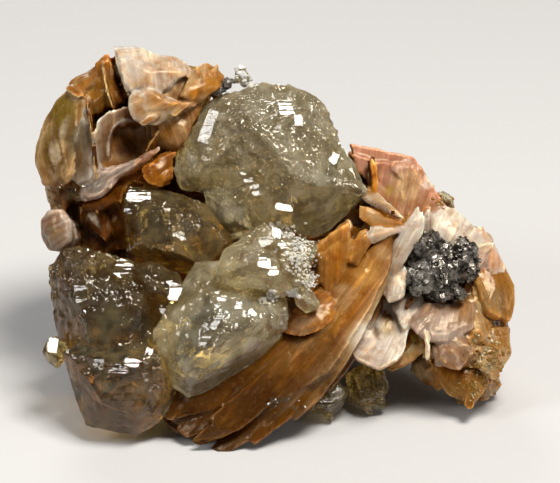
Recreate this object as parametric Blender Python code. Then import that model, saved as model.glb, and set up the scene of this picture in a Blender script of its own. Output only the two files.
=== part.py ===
"""Cerussite crystals with galena on a matrix of bladed barite, a small cabinet specimen.

The specimen is drawn in the frame of its display face, in millimetres: u to the right, v up
the face and w out of it, towards somebody who looks at the face. The face leans back, so the
finished pieces are tilted and set down on the floor, in metres with +Z up.
"""

import math
import random

import bmesh
import bpy
from mathutils import Matrix, Vector, noise

# Driving dimensions, in millimetres and degrees
MM = 0.001
FACE_LEAN = math.radians(25.0)  # how far the display face leans back from upright
FLOOR_BELOW_FACE = 26.3  # height of the face frame's centre above the floor
FACE_CENTRE_X = 1.05  # where the face frame's centre lies in the finished frame
FACE_CENTRE_Y = -1.35
VIEWING_DISTANCE = 529.0  # outlines are given as they are seen from this far away
WELD = 0.001  # points closer than this are one
SOCKET_GAP = 0.3  # clearance between a crystal and what it grew on
REACH = 70.0  # larger than the specimen, for the blocks that planes cut down
LAYER_PITCH = 2.9  # from one stacked barite plate to the next
LAYER_SHRINK = 0.13  # how much smaller each stacked plate is
LAYER_TURN = math.radians(9.0)  # how far each stacked plate is turned in its plane
EDGE_THINNING = 0.6  # how much of its thickness a plate loses at its rim

# Shares and limits of the random shapes
ON_PLANE = 1e-5  # a point this near a cutting plane lies on it
SLOPE_SPREAD = (0.75, 1.25)  # a crystal face's slope, as a share of the stated one
KNOCK_PITCH = 2.2  # how closely the knocks and hollows of a lump follow each other
KNOCK_SHIFT = 3.7  # from one lump's pattern of knocks to the next
GOLDEN_ANGLE = math.pi * (3.0 - math.sqrt(5.0))

# Finishes: base colour, roughness, metallic
CERUSSITE_FINISH = ((0.42, 0.37, 0.24, 1.0), 0.12, 0.0)
BARITE_FINISH = ((0.78, 0.62, 0.42, 1.0), 0.5, 0.0)
GALENA_FINISH = ((0.12, 0.12, 0.125, 1.0), 0.3, 0.9)

OUT_OF_FACE = Vector((0.0, 0.0, 1.0))


def face_to_world():
    """Tilts the display face back, sets it on the floor and turns millimetres into metres."""
    c, s = math.cos(FACE_LEAN), math.sin(FACE_LEAN)
    turn = Matrix(((1, 0, 0, 0), (0, s, -c, 0), (0, c, s, 0), (0, 0, 0, 1)))
    place = Vector((FACE_CENTRE_X, FACE_CENTRE_Y, FLOOR_BELOW_FACE)) * MM
    return Matrix.Translation(place) @ turn @ Matrix.Scale(MM, 4)


def seen(u, v, w):
    """The point at depth w that somebody at the viewing distance sees at (u, v) on the face."""
    nearer = (VIEWING_DISTANCE - w) / VIEWING_DISTANCE
    return Vector((u * nearer, v * nearer, w))


# Objects and Booleans


def to_object(bm, name):
    """A new object made of this bmesh, in the frame of the display face."""
    bmesh.ops.recalc_face_normals(bm, faces=bm.faces)
    mesh = bpy.data.meshes.new(name)
    bm.to_mesh(mesh)
    bm.free()
    obj = bpy.data.objects.new(name, mesh)
    bpy.context.scene.collection.objects.link(obj)
    return obj


def combine(target, others, operation):
    """Joins the other objects to the target, or cuts them out of it, and removes them."""
    if not others:
        return
    group = bpy.data.collections.new("operands")
    for other in others:
        group.objects.link(other)
    modifier = target.modifiers.new("combine", "BOOLEAN")
    modifier.operand_type = "COLLECTION"
    modifier.collection = group
    modifier.operation = operation
    modifier.solver = "EXACT"
    graph = bpy.context.evaluated_depsgraph_get()
    made = bpy.data.meshes.new_from_object(target.evaluated_get(graph))
    target.modifiers.clear()
    target.data = made
    for other in others:
        bpy.data.objects.remove(other)
    bpy.data.collections.remove(group)


def keep_largest_body(obj):
    """Drops the crumbs that a cut has parted from the piece, and welds what coincides."""
    bm = bmesh.new()
    bm.from_mesh(obj.data)
    bmesh.ops.remove_doubles(bm, verts=bm.verts, dist=WELD)
    bmesh.ops.dissolve_degenerate(bm, edges=bm.edges, dist=WELD)
    unseen = set(bm.verts)
    bodies = []
    while unseen:
        body, front = set(), [unseen.pop()]
        while front:
            vert = front.pop()
            body.add(vert)
            near = {edge.other_vert(vert) for edge in vert.link_edges} & unseen
            unseen -= near
            front.extend(near)
        bodies.append(body)
    largest = max(bodies, key=len)
    crumbs = [v for body in bodies if body is not largest for v in body]
    bmesh.ops.delete(bm, geom=crumbs, context="VERTS")
    bmesh.ops.triangulate(bm, faces=bm.faces)
    bm.to_mesh(obj.data)
    bm.free()


# Crystal blocks: convex solids bounded by flat faces


def block(planes, grow=0.0):
    """The solid inside all the planes, each (normal, point), moved outwards by grow."""
    bm = bmesh.new()
    bmesh.ops.create_cube(bm, size=2.0 * REACH)
    for normal, point in planes:
        n = Vector(normal).normalized()
        whole = bm.verts[:] + bm.edges[:] + bm.faces[:]
        co = Vector(point) + grow * n
        bmesh.ops.bisect_plane(bm, geom=whole, dist=ON_PLANE, plane_co=co, plane_no=n, clear_outer=True)
        rim = [edge for edge in bm.edges if edge.is_boundary]
        if rim:
            bmesh.ops.contextual_create(bm, geom=rim)
    return to_object(bm, "block")


def crystal_planes(outline, depth, front, back, caps, seed):
    """The faces of a crystal that is seen with this convex outline.

    Each side of the outline has a face that slopes to the front and one that slopes to the
    back, and they meet at the stated depth. front and back are those faces' slopes in
    degrees, 0 along the line of sight. caps are further faces, each (normal, (u, v, w)).
    """
    rng = random.Random(seed)
    corners = [seen(u, v, depth) for u, v in outline]
    if sum(a.x * b.y - b.x * a.y for a, b in zip(corners, corners[1:] + corners[:1])) < 0.0:
        corners.reverse()
    planes = []
    for a, b in zip(corners, corners[1:] + corners[:1]):
        along = (b - a).normalized()
        outwards = along.cross(OUT_OF_FACE)
        for slope, facing in ((front, 1.0), (back, -1.0)):
            angle = math.radians(slope * rng.uniform(*SLOPE_SPREAD))
            normal = outwards * math.cos(angle) + OUT_OF_FACE * facing * math.sin(angle)
            planes.append((normal, a))
    planes += [(normal, seen(*place)) for normal, place in caps]
    return planes


# Each crystal is a list of blocks that grew together: outline, depth, front slope, back slope
# and caps. The first crystals are whole, and each later one gives way to those before it.
CRYSTAL_SEED_STEP = 100
CRYSTALS = {
    "cerussite_centre": [
        dict(outline=[(-12.3, -7.2), (-9.8, -1.2), (-6.8, 1.2), (-3.2, 3.2), (-0.8, 1.0), (1.2, -3.5),
                      (0.0, -8.4), (-6.8, -8.6)],
             depth=15.5, front=38, back=48,
             caps=[((0.02, 0.38, 0.92), (-5.0, -3.5, 20.3)), ((-0.55, 0.35, 0.75), (-8.5, -3.0, 18.6)),
                   ((0.0, -0.7, 0.7), (-5.0, -7.6, 17.0))]),
        dict(outline=[(-3.4, 2.6), (1.8, 1.4), (6.6, 0.2), (6.6, -2.4), (4.6, -5.8), (3.2, -8.6),
                      (0.2, -9.8), (-3.2, -8.6)],
             depth=14.0, front=45, back=45,
             caps=[((0.15, 0.45, 0.88), (1.5, -2.5, 18.6)), ((0.6, 0.0, 0.8), (4.8, -2.5, 16.6))]),
        dict(outline=[(-5.2, 1.6), (-2.9, 3.6), (-0.6, 2.2), (1.2, -0.4), (-1.2, -1.6), (-4.0, -0.6)],
             depth=17.0, front=40, back=35,
             caps=[((0.1, 0.5, 0.86), (-2.0, 1.0, 20.9))]),
        dict(outline=[(1.6, -4.4), (3.8, -3.2), (5.0, -5.0), (4.4, -7.6), (2.0, -8.2), (0.8, -6.4)],
             depth=16.0, front=42, back=35,
             caps=[((0.2, 0.2, 0.95), (3.0, -6.0, 18.8))]),
    ],
    "cerussite_stub": [
        dict(outline=[(3.4, -6.6), (4.9, -7.4), (6.9, -10.4), (6.5, -11.6), (4.4, -12.3), (2.6, -10.8),
                      (2.2, -8.4)],
             depth=13.6, front=28, back=35,
             caps=[((0.3, 0.25, 0.92), (4.6, -9.5, 15.9))]),
    ],
    "cerussite_front": [
        dict(outline=[(-14.6, -3.2), (-17.9, -8.6), (-21.7, -14.6), (-22.1, -17.2), (-20.4, -21.4),
                      (-18.4, -25.0), (-15.6, -26.9), (-12.8, -26.0), (-6.8, -22.4), (-3.1, -19.8),
                      (0.5, -16.4), (1.8, -13.0), (1.4, -9.6), (-2.4, -6.6), (-9.4, -3.0)],
             depth=12.0, front=44, back=50,
             caps=[((-0.36, 0.14, 0.92), (-15.0, -15.0, 17.6)), ((0.30, -0.06, 0.95), (-5.0, -14.0, 18.4)),
                   ((-0.05, -0.55, 0.83), (-11.5, -22.0, 16.6)), ((-0.1, 0.62, 0.78), (-11.5, -6.5, 16.8))]),
        dict(outline=[(-3.2, -8.8), (-1.2, -9.6), (1.6, -12.2), (1.2, -15.2), (-2.0, -16.4), (-4.2, -13.2)],
             depth=13.4, front=36, back=30,
             caps=[((0.35, 0.0, 0.94), (-1.0, -13.0, 18.0))]),
    ],
    "cerussite_crown": [
        dict(outline=[(-8.0, 26.8), (-5.9, 26.4), (-4.8, 27.6), (-5.6, 29.1), (-6.4, 29.7), (-7.4, 29.4),
                      (-7.9, 28.4)],
             depth=-0.2, front=20, back=25,
             caps=[((0.2, 0.2, 0.95), (-6.5, 28.0, 1.6))]),
    ],
    "cerussite_upper": [
        dict(outline=[(-3.1, 27.4), (-9.6, 25.0), (-13.0, 22.0), (-11.6, 12.0), (-7.0, 4.4), (-3.1, 0.4),
                      (3.4, -0.7), (8.5, 1.6), (14.6, 6.9), (15.8, 9.4), (11.6, 15.6), (9.5, 19.4),
                      (6.5, 24.0), (1.8, 26.9)],
             depth=2.0, front=38, back=52,
             caps=[((0.10, 0.50, 0.86), (1.0, 17.0, 12.6)), ((0.20, -0.30, 0.93), (7.0, 6.0, 11.6)),
                   ((-0.50, -0.10, 0.86), (-7.5, 12.0, 11.4)), ((0.55, 0.45, 0.70), (10.5, 15.5, 8.6))]),
        dict(outline=[(-1.0, 26.8), (-10.2, 25.5), (-14.2, 22.8), (-17.3, 17.4), (-18.5, 12.4), (-17.2, 8.6),
                      (-12.8, 7.8), (-5.0, 8.6), (0.0, 12.0)],
             depth=0.5, front=42, back=50,
             caps=[((-0.34, 0.40, 0.85), (-12.5, 18.0, 9.6)), ((-0.30, -0.26, 0.92), (-13.0, 12.0, 9.4))]),
        dict(outline=[(1.0, 27.0), (6.4, 24.9), (9.4, 21.6), (10.4, 18.0), (11.6, 15.4), (6.0, 11.0),
                      (-2.0, 16.0)],
             depth=-3.0, front=30, back=45,
             caps=[((0.35, 0.45, 0.82), (7.0, 20.5, 3.6))]),
        dict(outline=[(-13.4, 8.6), (-8.8, 9.4), (-4.0, 6.0), (-3.6, 1.2), (-8.2, -0.2), (-12.4, 2.6)],
             depth=1.5, front=26, back=40,
             caps=[((-0.2, -0.25, 0.95), (-8.0, 4.0, 7.4))]),
    ],
    "cerussite_middle": [
        dict(outline=[(-26.9, 7.2), (-26.2, -1.8), (-22.1, -4.0), (-17.0, -5.4), (-12.6, -6.4), (-9.2, -3.5),
                      (-7.7, 0.3), (-9.6, 4.6), (-13.6, 7.2), (-18.0, 8.5), (-22.2, 9.5), (-25.4, 9.6)],
             depth=4.2, front=22, back=45,
             caps=[((-0.10, 0.12, 0.98), (-19.0, 1.0, 10.6)), ((-0.25, 0.72, 0.64), (-22.5, 8.0, 8.3)),
                   ((0.35, -0.2, 0.9), (-12.0, 0.0, 9.3))]),
    ],
    "cerussite_lower": [
        dict(outline=[(-37.4, -1.2), (-39.6, -4.4), (-39.4, -10.0), (-37.6, -17.8), (-35.0, -23.6),
                      (-27.2, -25.4), (-19.4, -21.0), (-18.6, -13.4), (-19.4, -7.4), (-22.1, -3.8),
                      (-26.4, -2.4), (-34.3, -0.6)],
             depth=6.0, front=30, back=45,
             caps=[((-0.05, 0.10, 0.99), (-28.5, -12.0, 13.6)), ((-0.10, 0.66, 0.74), (-30.0, -3.6, 11.2)),
                   ((-0.55, 0.15, 0.82), (-36.5, -10.0, 11.4)), ((0.4, -0.1, 0.91), (-22.5, -14.0, 12.8))]),
        dict(outline=[(-37.2, -18.6), (-35.0, -26.8), (-33.1, -31.4), (-28.9, -32.5), (-25.0, -33.5),
                      (-22.1, -32.1), (-19.4, -30.0), (-17.4, -26.0), (-17.2, -18.6), (-20.4, -15.0),
                      (-30.6, -15.0)],
             depth=11.4, front=38, back=40,
             caps=[((0.02, -0.22, 0.97), (-26.5, -25.5, 16.4)), ((0.0, 0.62, 0.78), (-27.5, -18.0, 15.6)),
                   ((-0.5, -0.1, 0.86), (-33.5, -24.0, 14.8)), ((0.5, 0.0, 0.86), (-20.0, -24.0, 15.0))]),
        dict(outline=[(-40.6, -18.8), (-39.6, -20.9), (-37.8, -22.0), (-36.0, -20.4), (-36.4, -17.2),
                      (-38.2, -15.6), (-39.8, -16.6)],
             depth=8.4, front=30, back=30,
             caps=[((-0.2, 0.35, 0.91), (-38.2, -18.6, 11.4))]),
        dict(outline=[(-25.6, -3.6), (-25.0, -7.6), (-22.2, -10.4), (-19.0, -12.2), (-16.0, -8.4),
                      (-17.0, -5.2), (-22.0, -3.0)],
             depth=10.0, front=24, back=30,
             caps=[((0.05, 0.40, 0.91), (-20.6, -7.0, 15.0))]),
        dict(outline=[(-36.4, -2.2), (-37.6, -5.4), (-34.6, -8.0), (-29.8, -7.4), (-28.4, -3.6),
                      (-32.0, -1.0)],
             depth=8.0, front=26, back=30,
             caps=[((-0.15, 0.35, 0.92), (-33.0, -4.6, 13.6))]),
        dict(outline=[(-28.2, -2.8), (-29.0, -6.0), (-27.2, -9.6), (-24.2, -8.6), (-23.6, -4.4),
                      (-25.6, -2.8)],
             depth=9.0, front=28, back=30,
             caps=[((0.1, 0.45, 0.88), (-26.2, -5.5, 14.8))]),
        dict(outline=[(-32.6, -20.2), (-31.4, -22.6), (-27.0, -23.4), (-22.6, -21.6), (-23.6, -18.0),
                      (-29.6, -17.4)],
             depth=13.0, front=30, back=25,
             caps=[((0.0, 0.48, 0.88), (-27.6, -20.4, 16.6))]),
    ],
    "cerussite_foot_left": [
        dict(outline=[(5.2, -24.2), (5.0, -29.0), (8.4, -30.2), (11.0, -28.0), (11.9, -25.0), (9.0, -22.0)],
             depth=4.4, front=30, back=30,
             caps=[((0.2, 0.3, 0.93), (8.2, -26.5, 7.0))]),
    ],
    "cerussite_foot_right": [
        dict(outline=[(10.8, -22.6), (11.6, -27.6), (14.6, -29.0), (17.4, -27.8), (18.9, -25.0),
                      (17.8, -21.8), (14.0, -20.4)],
             depth=1.8, front=32, back=35,
             caps=[((0.1, 0.35, 0.93), (14.8, -25.4, 4.6))]),
    ],
    "cerussite_edge": [
        dict(outline=[(25.8, 8.6), (26.6, 6.6), (28.9, 5.0), (30.0, 5.6), (29.6, 7.6), (27.8, 8.9)],
             depth=-3.6, front=30, back=35,
             caps=[((0.2, 0.4, 0.9), (28.0, 7.4, -2.0))]),
    ],
}


# Galena: rounded knots covered with small cubes. Each knot is (u, v, w, radius)
GALENA_ROUGHNESS = 0.06
CUBE_REACH = 0.94  # a cube's middle lies at this share of its knot's radius
CUBE_FORWARD = 0.1  # least share of the way out of the face, so that no cube faces the ground
CUBE_SPREAD = (0.7, 1.3)  # a cube's size, as a share of the stated one
GALENA = {
    "galena_cluster": dict(
        knots=[(26.8, -4.4, 3.4, 5.4), (25.0, -1.2, 5.0, 3.3), (31.0, -3.4, 4.4, 3.7), (23.4, -6.0, 5.0, 3.4),
               (27.8, -7.8, 4.8, 3.2)],
        detail=2, cube=1.9, cubes=22, seed=5),
    "galena_speck": dict(
        knots=[(-10.6, 25.6, 0.8, 1.5), (-9.0, 26.6, 0.6, 1.3)],
        detail=1, cube=1.2, cubes=3, seed=8),
}


def turned_cube(centre, half, rng, grow=0.0):
    """A small cube, turned at random."""
    turn = Matrix.Rotation(rng.uniform(0.0, math.pi), 3, unit_vector(rng))
    planes = []
    for axis in range(3):
        for side in (-1.0, 1.0):
            n = turn.col[axis] * side
            planes.append((n, centre + n * half))
    return block(planes, grow)


def unit_vector(rng):
    """A direction at random, even over the sphere."""
    z, a = rng.uniform(-1.0, 1.0), rng.uniform(0.0, 2.0 * math.pi)
    r = math.sqrt(1.0 - z * z)
    return Vector((r * math.cos(a), r * math.sin(a), z))


def galena_blocks(knots, detail, cube, cubes, seed, grow=0.0):
    """The separate convex solids of one galena cluster."""
    rng = random.Random(seed)
    made = []
    for i, (u, v, w, r) in enumerate(knots):
        made.append(lump((u, v, w), (r, r, r), GALENA_ROUGHNESS, seed + i, detail, grow))
    for i in range(cubes):
        u, v, w, r = knots[i % len(knots)]
        outwards = unit_vector(rng)
        outwards.z = abs(outwards.z) * (1.0 - CUBE_FORWARD) + CUBE_FORWARD
        centre = seen(u, v, w) + outwards.normalized() * r * CUBE_REACH
        made.append(turned_cube(centre, 0.5 * cube * rng.uniform(*CUBE_SPREAD), rng, grow))
    return made


# Barite: broad plates, thin fins seen edge on, and the lumpy ground they grew on


def lump(centre, radii, roughness, seed, detail=2, grow=0.0):
    """A rough rounded mass, like an ellipsoid with knocks and hollows."""
    bm = bmesh.new()
    bmesh.ops.create_icosphere(bm, subdivisions=detail, radius=1.0)
    middle = seen(*centre)
    for vert in bm.verts:
        direction = vert.co.normalized()
        pattern = direction * KNOCK_PITCH + Vector((seed * KNOCK_SHIFT, 0.0, 0.0))
        swell = 1.0 + 2.0 * roughness * noise.noise(pattern)
        vert.co = middle + Vector([direction[i] * (radii[i] * swell + grow) for i in range(3)])
    return to_object(bm, "lump")


def sheet(rim, normal, thickness, dome, rings=1):
    """A thin plate inside a rim of points, domed along its normal and thinner at its edge."""
    n = normal.normalized()
    centre = sum(rim, Vector()) / len(rim)
    count = len(rim)
    bm = bmesh.new()
    edges = []
    for side, steps in ((0.5, rings), (-0.5, 1)):
        tip = bm.verts.new(centre + n * (dome + side * thickness))
        loops = []
        for step in range(1, steps + 1):
            t = step / steps
            lift = dome * (1.0 - t * t) + side * thickness * (1.0 - EDGE_THINNING * t**3)
            loops.append([bm.verts.new(centre.lerp(point, t) + n * lift) for point in rim])
        for i in range(count):
            j = (i + 1) % count
            bm.faces.new((tip, loops[0][i], loops[0][j]))
            for inner, outer in zip(loops, loops[1:]):
                bm.faces.new((inner[i], outer[i], outer[j], inner[j]))
        edges.append(loops[-1])
    top, bottom = edges
    for i in range(count):
        j = (i + 1) % count
        bm.faces.new((top[i], bottom[i], bottom[j], top[j]))
    return to_object(bm, "sheet")


def plates(outline, normal, depth, thickness=2.2, dome=0.6, layers=1, rings=2):
    """A plate that shows its broad side, by its outline on the face, and those stacked behind.

    depth is that of its middle. Each plate behind is a little smaller and turned a little.
    """
    n = Vector(normal).normalized()
    mu = sum(u for u, _ in outline) / len(outline)
    mv = sum(v for _, v in outline) / len(outline)
    made = []
    for layer in range(layers):
        size = 1.0 - LAYER_SHRINK * layer
        turn = Matrix.Rotation(LAYER_TURN * layer, 2)
        rim = []
        for u, v in outline:
            du, dv = turn @ Vector((u - mu, v - mv)) * size
            lift = depth - (n.x * du + n.y * dv) / n.z
            rim.append(seen(mu + du, mv + dv, lift) - n * LAYER_PITCH * layer)
        made.append(sheet(rim, n, thickness, dome, rings=1 if layer else rings))
    return made


def fin(centre, along, normal, length, width, thickness=1.0, bend=0.0, points=8):
    """A blade that stands up from what it grew on, pointed at both ends."""
    n = Vector(normal).normalized()
    lengthwise = Vector(along)
    lengthwise = (lengthwise - n * lengthwise.dot(n)).normalized()
    across = n.cross(lengthwise)
    middle = seen(*centre)
    rim = []
    for i in range(points):
        turn = 2.0 * math.pi * i / points
        t = math.cos(turn)
        side = math.sin(turn) * 0.5 * width
        rim.append(middle + lengthwise * t * 0.5 * length + across * side + n * bend * (1.0 - t * t))
    return sheet(rim, n, thickness, 0.0)


# Broad plates: outline, normal, depth and, where they differ from most, thickness and dome
ROSETTE_PLATES = [
    dict(outline=[(-28.6, 33.4), (-24.5, 33.6), (-20.0, 31.6), (-14.5, 30.1), (-12.6, 27.0), (-14.5, 24.0),
                  (-17.5, 21.4), (-20.5, 19.6), (-22.8, 19.0), (-25.2, 22.0), (-27.2, 26.0), (-28.4, 30.0)],
         normal=(0.10, 0.34, 0.93), depth=2.4, thickness=2.4, dome=1.0, layers=3),
    dict(outline=[(-16.0, 30.4), (-12.4, 30.0), (-9.0, 27.4), (-9.6, 24.6), (-11.6, 21.0), (-14.6, 18.4),
                  (-16.2, 21.0), (-16.8, 25.0)],
         normal=(0.42, 0.22, 0.88), depth=0.6, layers=3),
    dict(outline=[(-22.6, 20.8), (-18.5, 22.3), (-14.5, 21.9), (-12.6, 19.6), (-14.4, 16.0), (-17.2, 13.8),
                  (-20.6, 15.2), (-22.6, 18.0)],
         normal=(0.1, -0.15, 0.98), depth=1.6, thickness=2.6, dome=1.2),
    dict(outline=[(-31.6, 17.0), (-30.0, 20.4), (-27.0, 21.6), (-24.0, 21.0), (-22.0, 18.8), (-20.6, 15.6),
                  (-22.2, 13.0), (-25.5, 11.6), (-29.0, 11.8), (-31.2, 14.0)],
         normal=(0.1, 0.1, 0.99), depth=0.8, thickness=1.6, dome=-3.2),
    dict(outline=[(-39.8, 13.0), (-39.2, 18.0), (-37.0, 21.6), (-34.0, 23.6), (-31.6, 22.4), (-31.0, 17.0),
                  (-30.8, 11.5), (-31.8, 8.0), (-34.6, 6.4), (-37.6, 8.2)],
         normal=(-0.30, 0.1, 0.95), depth=0.8, thickness=2.0, dome=1.0, layers=2),
    dict(outline=[(-41.4, 13.0), (-41.2, 16.5), (-39.8, 20.6), (-37.6, 24.2), (-34.8, 26.8), (-32.0, 26.0),
                  (-33.0, 18.0), (-34.6, 11.0), (-37.4, 7.8), (-40.2, 9.2)],
         normal=(-0.42, 0.25, 0.87), depth=-2.6, thickness=2.6, layers=3),
    dict(outline=[(-36.4, 25.4), (-34.6, 28.2), (-31.4, 30.2), (-28.6, 31.0), (-26.4, 27.0), (-28.6, 22.6),
                  (-32.6, 21.8)],
         normal=(-0.25, 0.45, 0.85), depth=-0.8, thickness=2.6, layers=3),
    dict(outline=[(-35.4, 7.4), (-27.0, 9.4), (-23.6, 6.0), (-25.6, -2.0), (-34.4, -2.4)],
         normal=(0.1, 0.2, 0.97), depth=-3.0, thickness=3.0, dome=-1.0),
    dict(outline=[(-40.6, 1.0), (-40.4, 4.0), (-39.0, 5.6), (-36.6, 5.8), (-35.0, 3.6), (-35.0, -0.2),
                  (-36.6, -2.2), (-39.0, -1.9)],
         normal=(-0.45, 0.1, 0.88), depth=0.4, thickness=3.6, dome=1.0, layers=2),
]
UPPER_RIGHT_PLATES = [
    dict(outline=[(10.6, 16.2), (13.5, 15.6), (16.5, 14.8), (20.4, 14.4), (22.6, 13.8), (24.4, 12.0),
                  (26.0, 9.2), (27.6, 7.0), (29.0, 5.2), (27.4, 2.0), (23.6, -0.5), (18.5, 0.0), (14.0, 4.0),
                  (11.4, 10.0)],
         normal=(0.10, 0.22, 0.97), depth=-2.4, thickness=3.2, dome=-0.8, layers=3),
    dict(outline=[(13.6, 5.6), (15.4, 7.6), (18.8, 7.2), (21.4, 4.6), (22.8, 2.4), (20.6, 1.0), (17.8, 2.0),
                  (15.0, 3.4)],
         normal=(-0.2, 0.5, 0.84), depth=2.6, thickness=1.5),
    dict(outline=[(22.8, 5.4), (24.5, 1.2), (23.6, -2.2), (21.8, -5.2), (20.2, -3.8), (20.8, 0.6)],
         normal=(0.25, 0.2, 0.95), depth=4.0, thickness=1.3, dome=0.3),
    dict(outline=[(25.4, 4.4), (27.8, 5.9), (30.0, 5.6), (32.2, 3.4), (34.6, 0.4), (35.4, -3.0), (34.0, -5.5),
                  (30.5, -4.5), (27.0, -2.0), (24.6, 0.6)],
         normal=(0.25, 0.42, 0.87), depth=0.4, thickness=3.0),
    dict(outline=[(33.0, 2.0), (35.4, -1.6), (37.6, -7.2), (39.0, -12.4), (39.3, -17.0), (37.0, -18.0),
                  (34.0, -13.5), (32.5, -5.0)],
         normal=(0.5, 0.2, 0.84), depth=-1.6, thickness=3.6, layers=2),
    dict(outline=[(5.6, -1.0), (8.4, 1.6), (11.8, 3.6), (12.4, -1.5), (10.2, -8.0), (7.6, -10.8),
                  (6.0, -6.5)],
         normal=(0.3, 0.1, 0.95), depth=4.6, thickness=2.2),
]
KNOB_PLATES = [
    dict(outline=[(11.6, -17.5), (12.4, -14.0), (15.4, -10.8), (19.0, -8.8), (22.4, -9.8), (24.6, -13.5),
                  (24.8, -17.5), (23.0, -20.7), (19.5, -22.2), (16.0, -21.6), (13.2, -20.2)],
         normal=(-0.2, 0.35, 0.91), depth=4.8, thickness=2.2, dome=-2.2),
    dict(outline=[(24.6, -14.0), (30.0, -11.0), (35.6, -13.0), (37.8, -17.5), (35.6, -22.0), (29.5, -22.0),
                  (25.4, -19.5)],
         normal=(0.15, 0.1, 0.98), depth=5.4, thickness=2.6, dome=1.0),
    dict(outline=[(24.0, -22.0), (28.0, -24.6), (33.4, -28.0), (36.8, -24.0), (36.6, -19.0), (29.5, -18.0)],
         normal=(0.1, -0.35, 0.93), depth=2.6, thickness=2.6),
]
FAN_PLATES = [
    dict(outline=[(19.6, 4.8), (15.0, 0.2), (10.0, -4.5), (5.4, -9.5), (3.2, -13.6), (-1.5, -16.4),
                  (-4.0, -14.0), (-1.0, -9.0), (4.0, -5.5), (10.5, 0.0), (15.5, 4.6)],
         normal=(-0.25, 0.45, 0.86), depth=9.2, thickness=1.8, dome=0.4, rings=1),
    dict(outline=[(20.2, 3.6), (19.0, -1.5), (16.0, -7.0), (11.0, -13.0), (5.0, -19.0), (-3.0, -24.6),
                  (-11.0, -28.4), (-17.5, -28.6), (-19.0, -26.0), (-13.5, -21.0), (-7.0, -16.0),
                  (-1.5, -13.0), (4.0, -7.0), (12.0, 1.0)],
         normal=(-0.2, 0.34, 0.92), depth=8.2, thickness=2.0, dome=0.4, rings=1),
    dict(outline=[(20.0, 1.0), (18.8, -5.0), (15.5, -11.5), (12.0, -17.5), (8.4, -22.6), (3.0, -26.2),
                  (-3.0, -29.4), (-10.0, -32.2), (-17.0, -32.0), (-20.2, -29.8), (-18.0, -25.5),
                  (-8.0, -18.0), (4.0, -9.0), (12.0, -1.0)],
         normal=(-0.16, 0.30, 0.94), depth=7.2, thickness=2.2, dome=0.4, rings=1),
    dict(outline=[(12.0, -17.0), (10.8, -22.6), (7.0, -26.2), (3.5, -29.0), (-1.5, -31.5), (-7.0, -33.6),
                  (-10.4, -34.7), (-11.6, -33.6), (-13.4, -34.2), (-16.5, -33.6), (-19.5, -31.6),
                  (-20.6, -29.4), (-15.0, -24.0), (0.0, -18.0)],
         normal=(-0.14, 0.26, 0.96), depth=8.6, thickness=3.0, dome=0.4, rings=1),
]

# Thin blades seen edge on: centre, direction, normal, length, width and thickness
FINS = [
    dict(centre=(-28.4, 25.6, 1.0), along=(0.25, -0.97, 0.0), normal=(0.95, 0.25, 0.2), length=12.5,
         width=9.0, thickness=1.3),
    dict(centre=(-31.7, 17.2, 1.6), along=(0.12, -0.99, 0.0), normal=(0.97, 0.12, 0.2), length=16.5,
         width=8.5, thickness=1.1, bend=0.8),
    dict(centre=(-26.6, 9.8, 3.6), along=(0.83, 0.56, 0.1), normal=(-0.40, 0.60, 0.55), length=18.5,
         width=8.0, thickness=1.2, bend=-0.8),
    dict(centre=(-20.6, 17.0, 0.8), along=(-0.45, -0.85, 0.1), normal=(0.75, -0.45, 0.45), length=10.0,
         width=7.0, thickness=1.0, bend=0.5),
    dict(centre=(-35.0, 15.0, 1.2), along=(0.3, 0.94, 0.0), normal=(-0.85, 0.3, 0.45), length=14.0,
         width=5.0, thickness=1.1),
    dict(centre=(16.0, 10.2, 1.0), along=(0.05, -1.0, 0.1), normal=(0.94, 0.08, 0.3), length=10.0,
         width=7.0, thickness=0.9),
    dict(centre=(18.6, 3.6, 3.4), along=(0.95, -0.28, 0.0), normal=(0.1, 0.85, 0.5), length=9.0,
         width=5.5, thickness=0.9),
    dict(centre=(20.8, -2.8, 5.0), along=(-0.25, -0.96, 0.1), normal=(0.88, -0.25, 0.4), length=12.5,
         width=7.5, thickness=1.0, bend=0.6),
    dict(centre=(23.0, -9.6, 5.4), along=(-0.5, -0.86, 0.0), normal=(0.8, -0.5, 0.35), length=8.0,
         width=6.0, thickness=0.9),
    dict(centre=(25.5, -18.2, 6.0), along=(0.0, -1.0, 0.0), normal=(0.9, 0.0, 0.4), length=7.0,
         width=6.0, thickness=1.0),
    dict(centre=(12.4, -4.6, 7.4), along=(0.62, 0.78, 0.0), normal=(0.62, -0.5, 0.6), length=15.0,
         width=6.0, thickness=1.0),
]

# The broken ground behind the plates: centre and radii of its chunks
GROUND = [
    ((0.0, -6.0, -8.0), (20.0, 16.0, 12.0)),
    ((-4.0, 12.5, -11.0), (18.0, 13.5, 10.0)),
    ((14.0, 2.0, -9.0), (13.5, 10.5, 8.5)),
    ((-29.0, -13.0, -7.0), (8.5, 12.5, 9.0)),
    ((-7.0, -26.2, 3.0), (12.0, 6.6, 8.5)),
    ((0.0, -7.5, -14.0), (27.0, 15.5, 11.0)),
    ((-26.0, 16.0, -9.5), (12.6, 13.6, 10.5)),
    ((-31.0, 3.0, -9.0), (8.0, 8.5, 7.5)),
    ((-16.0, -14.0, -10.0), (15.0, 13.0, 11.0)),
    ((26.0, -8.0, -8.0), (9.0, 10.0, 8.5)),
]

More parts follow.
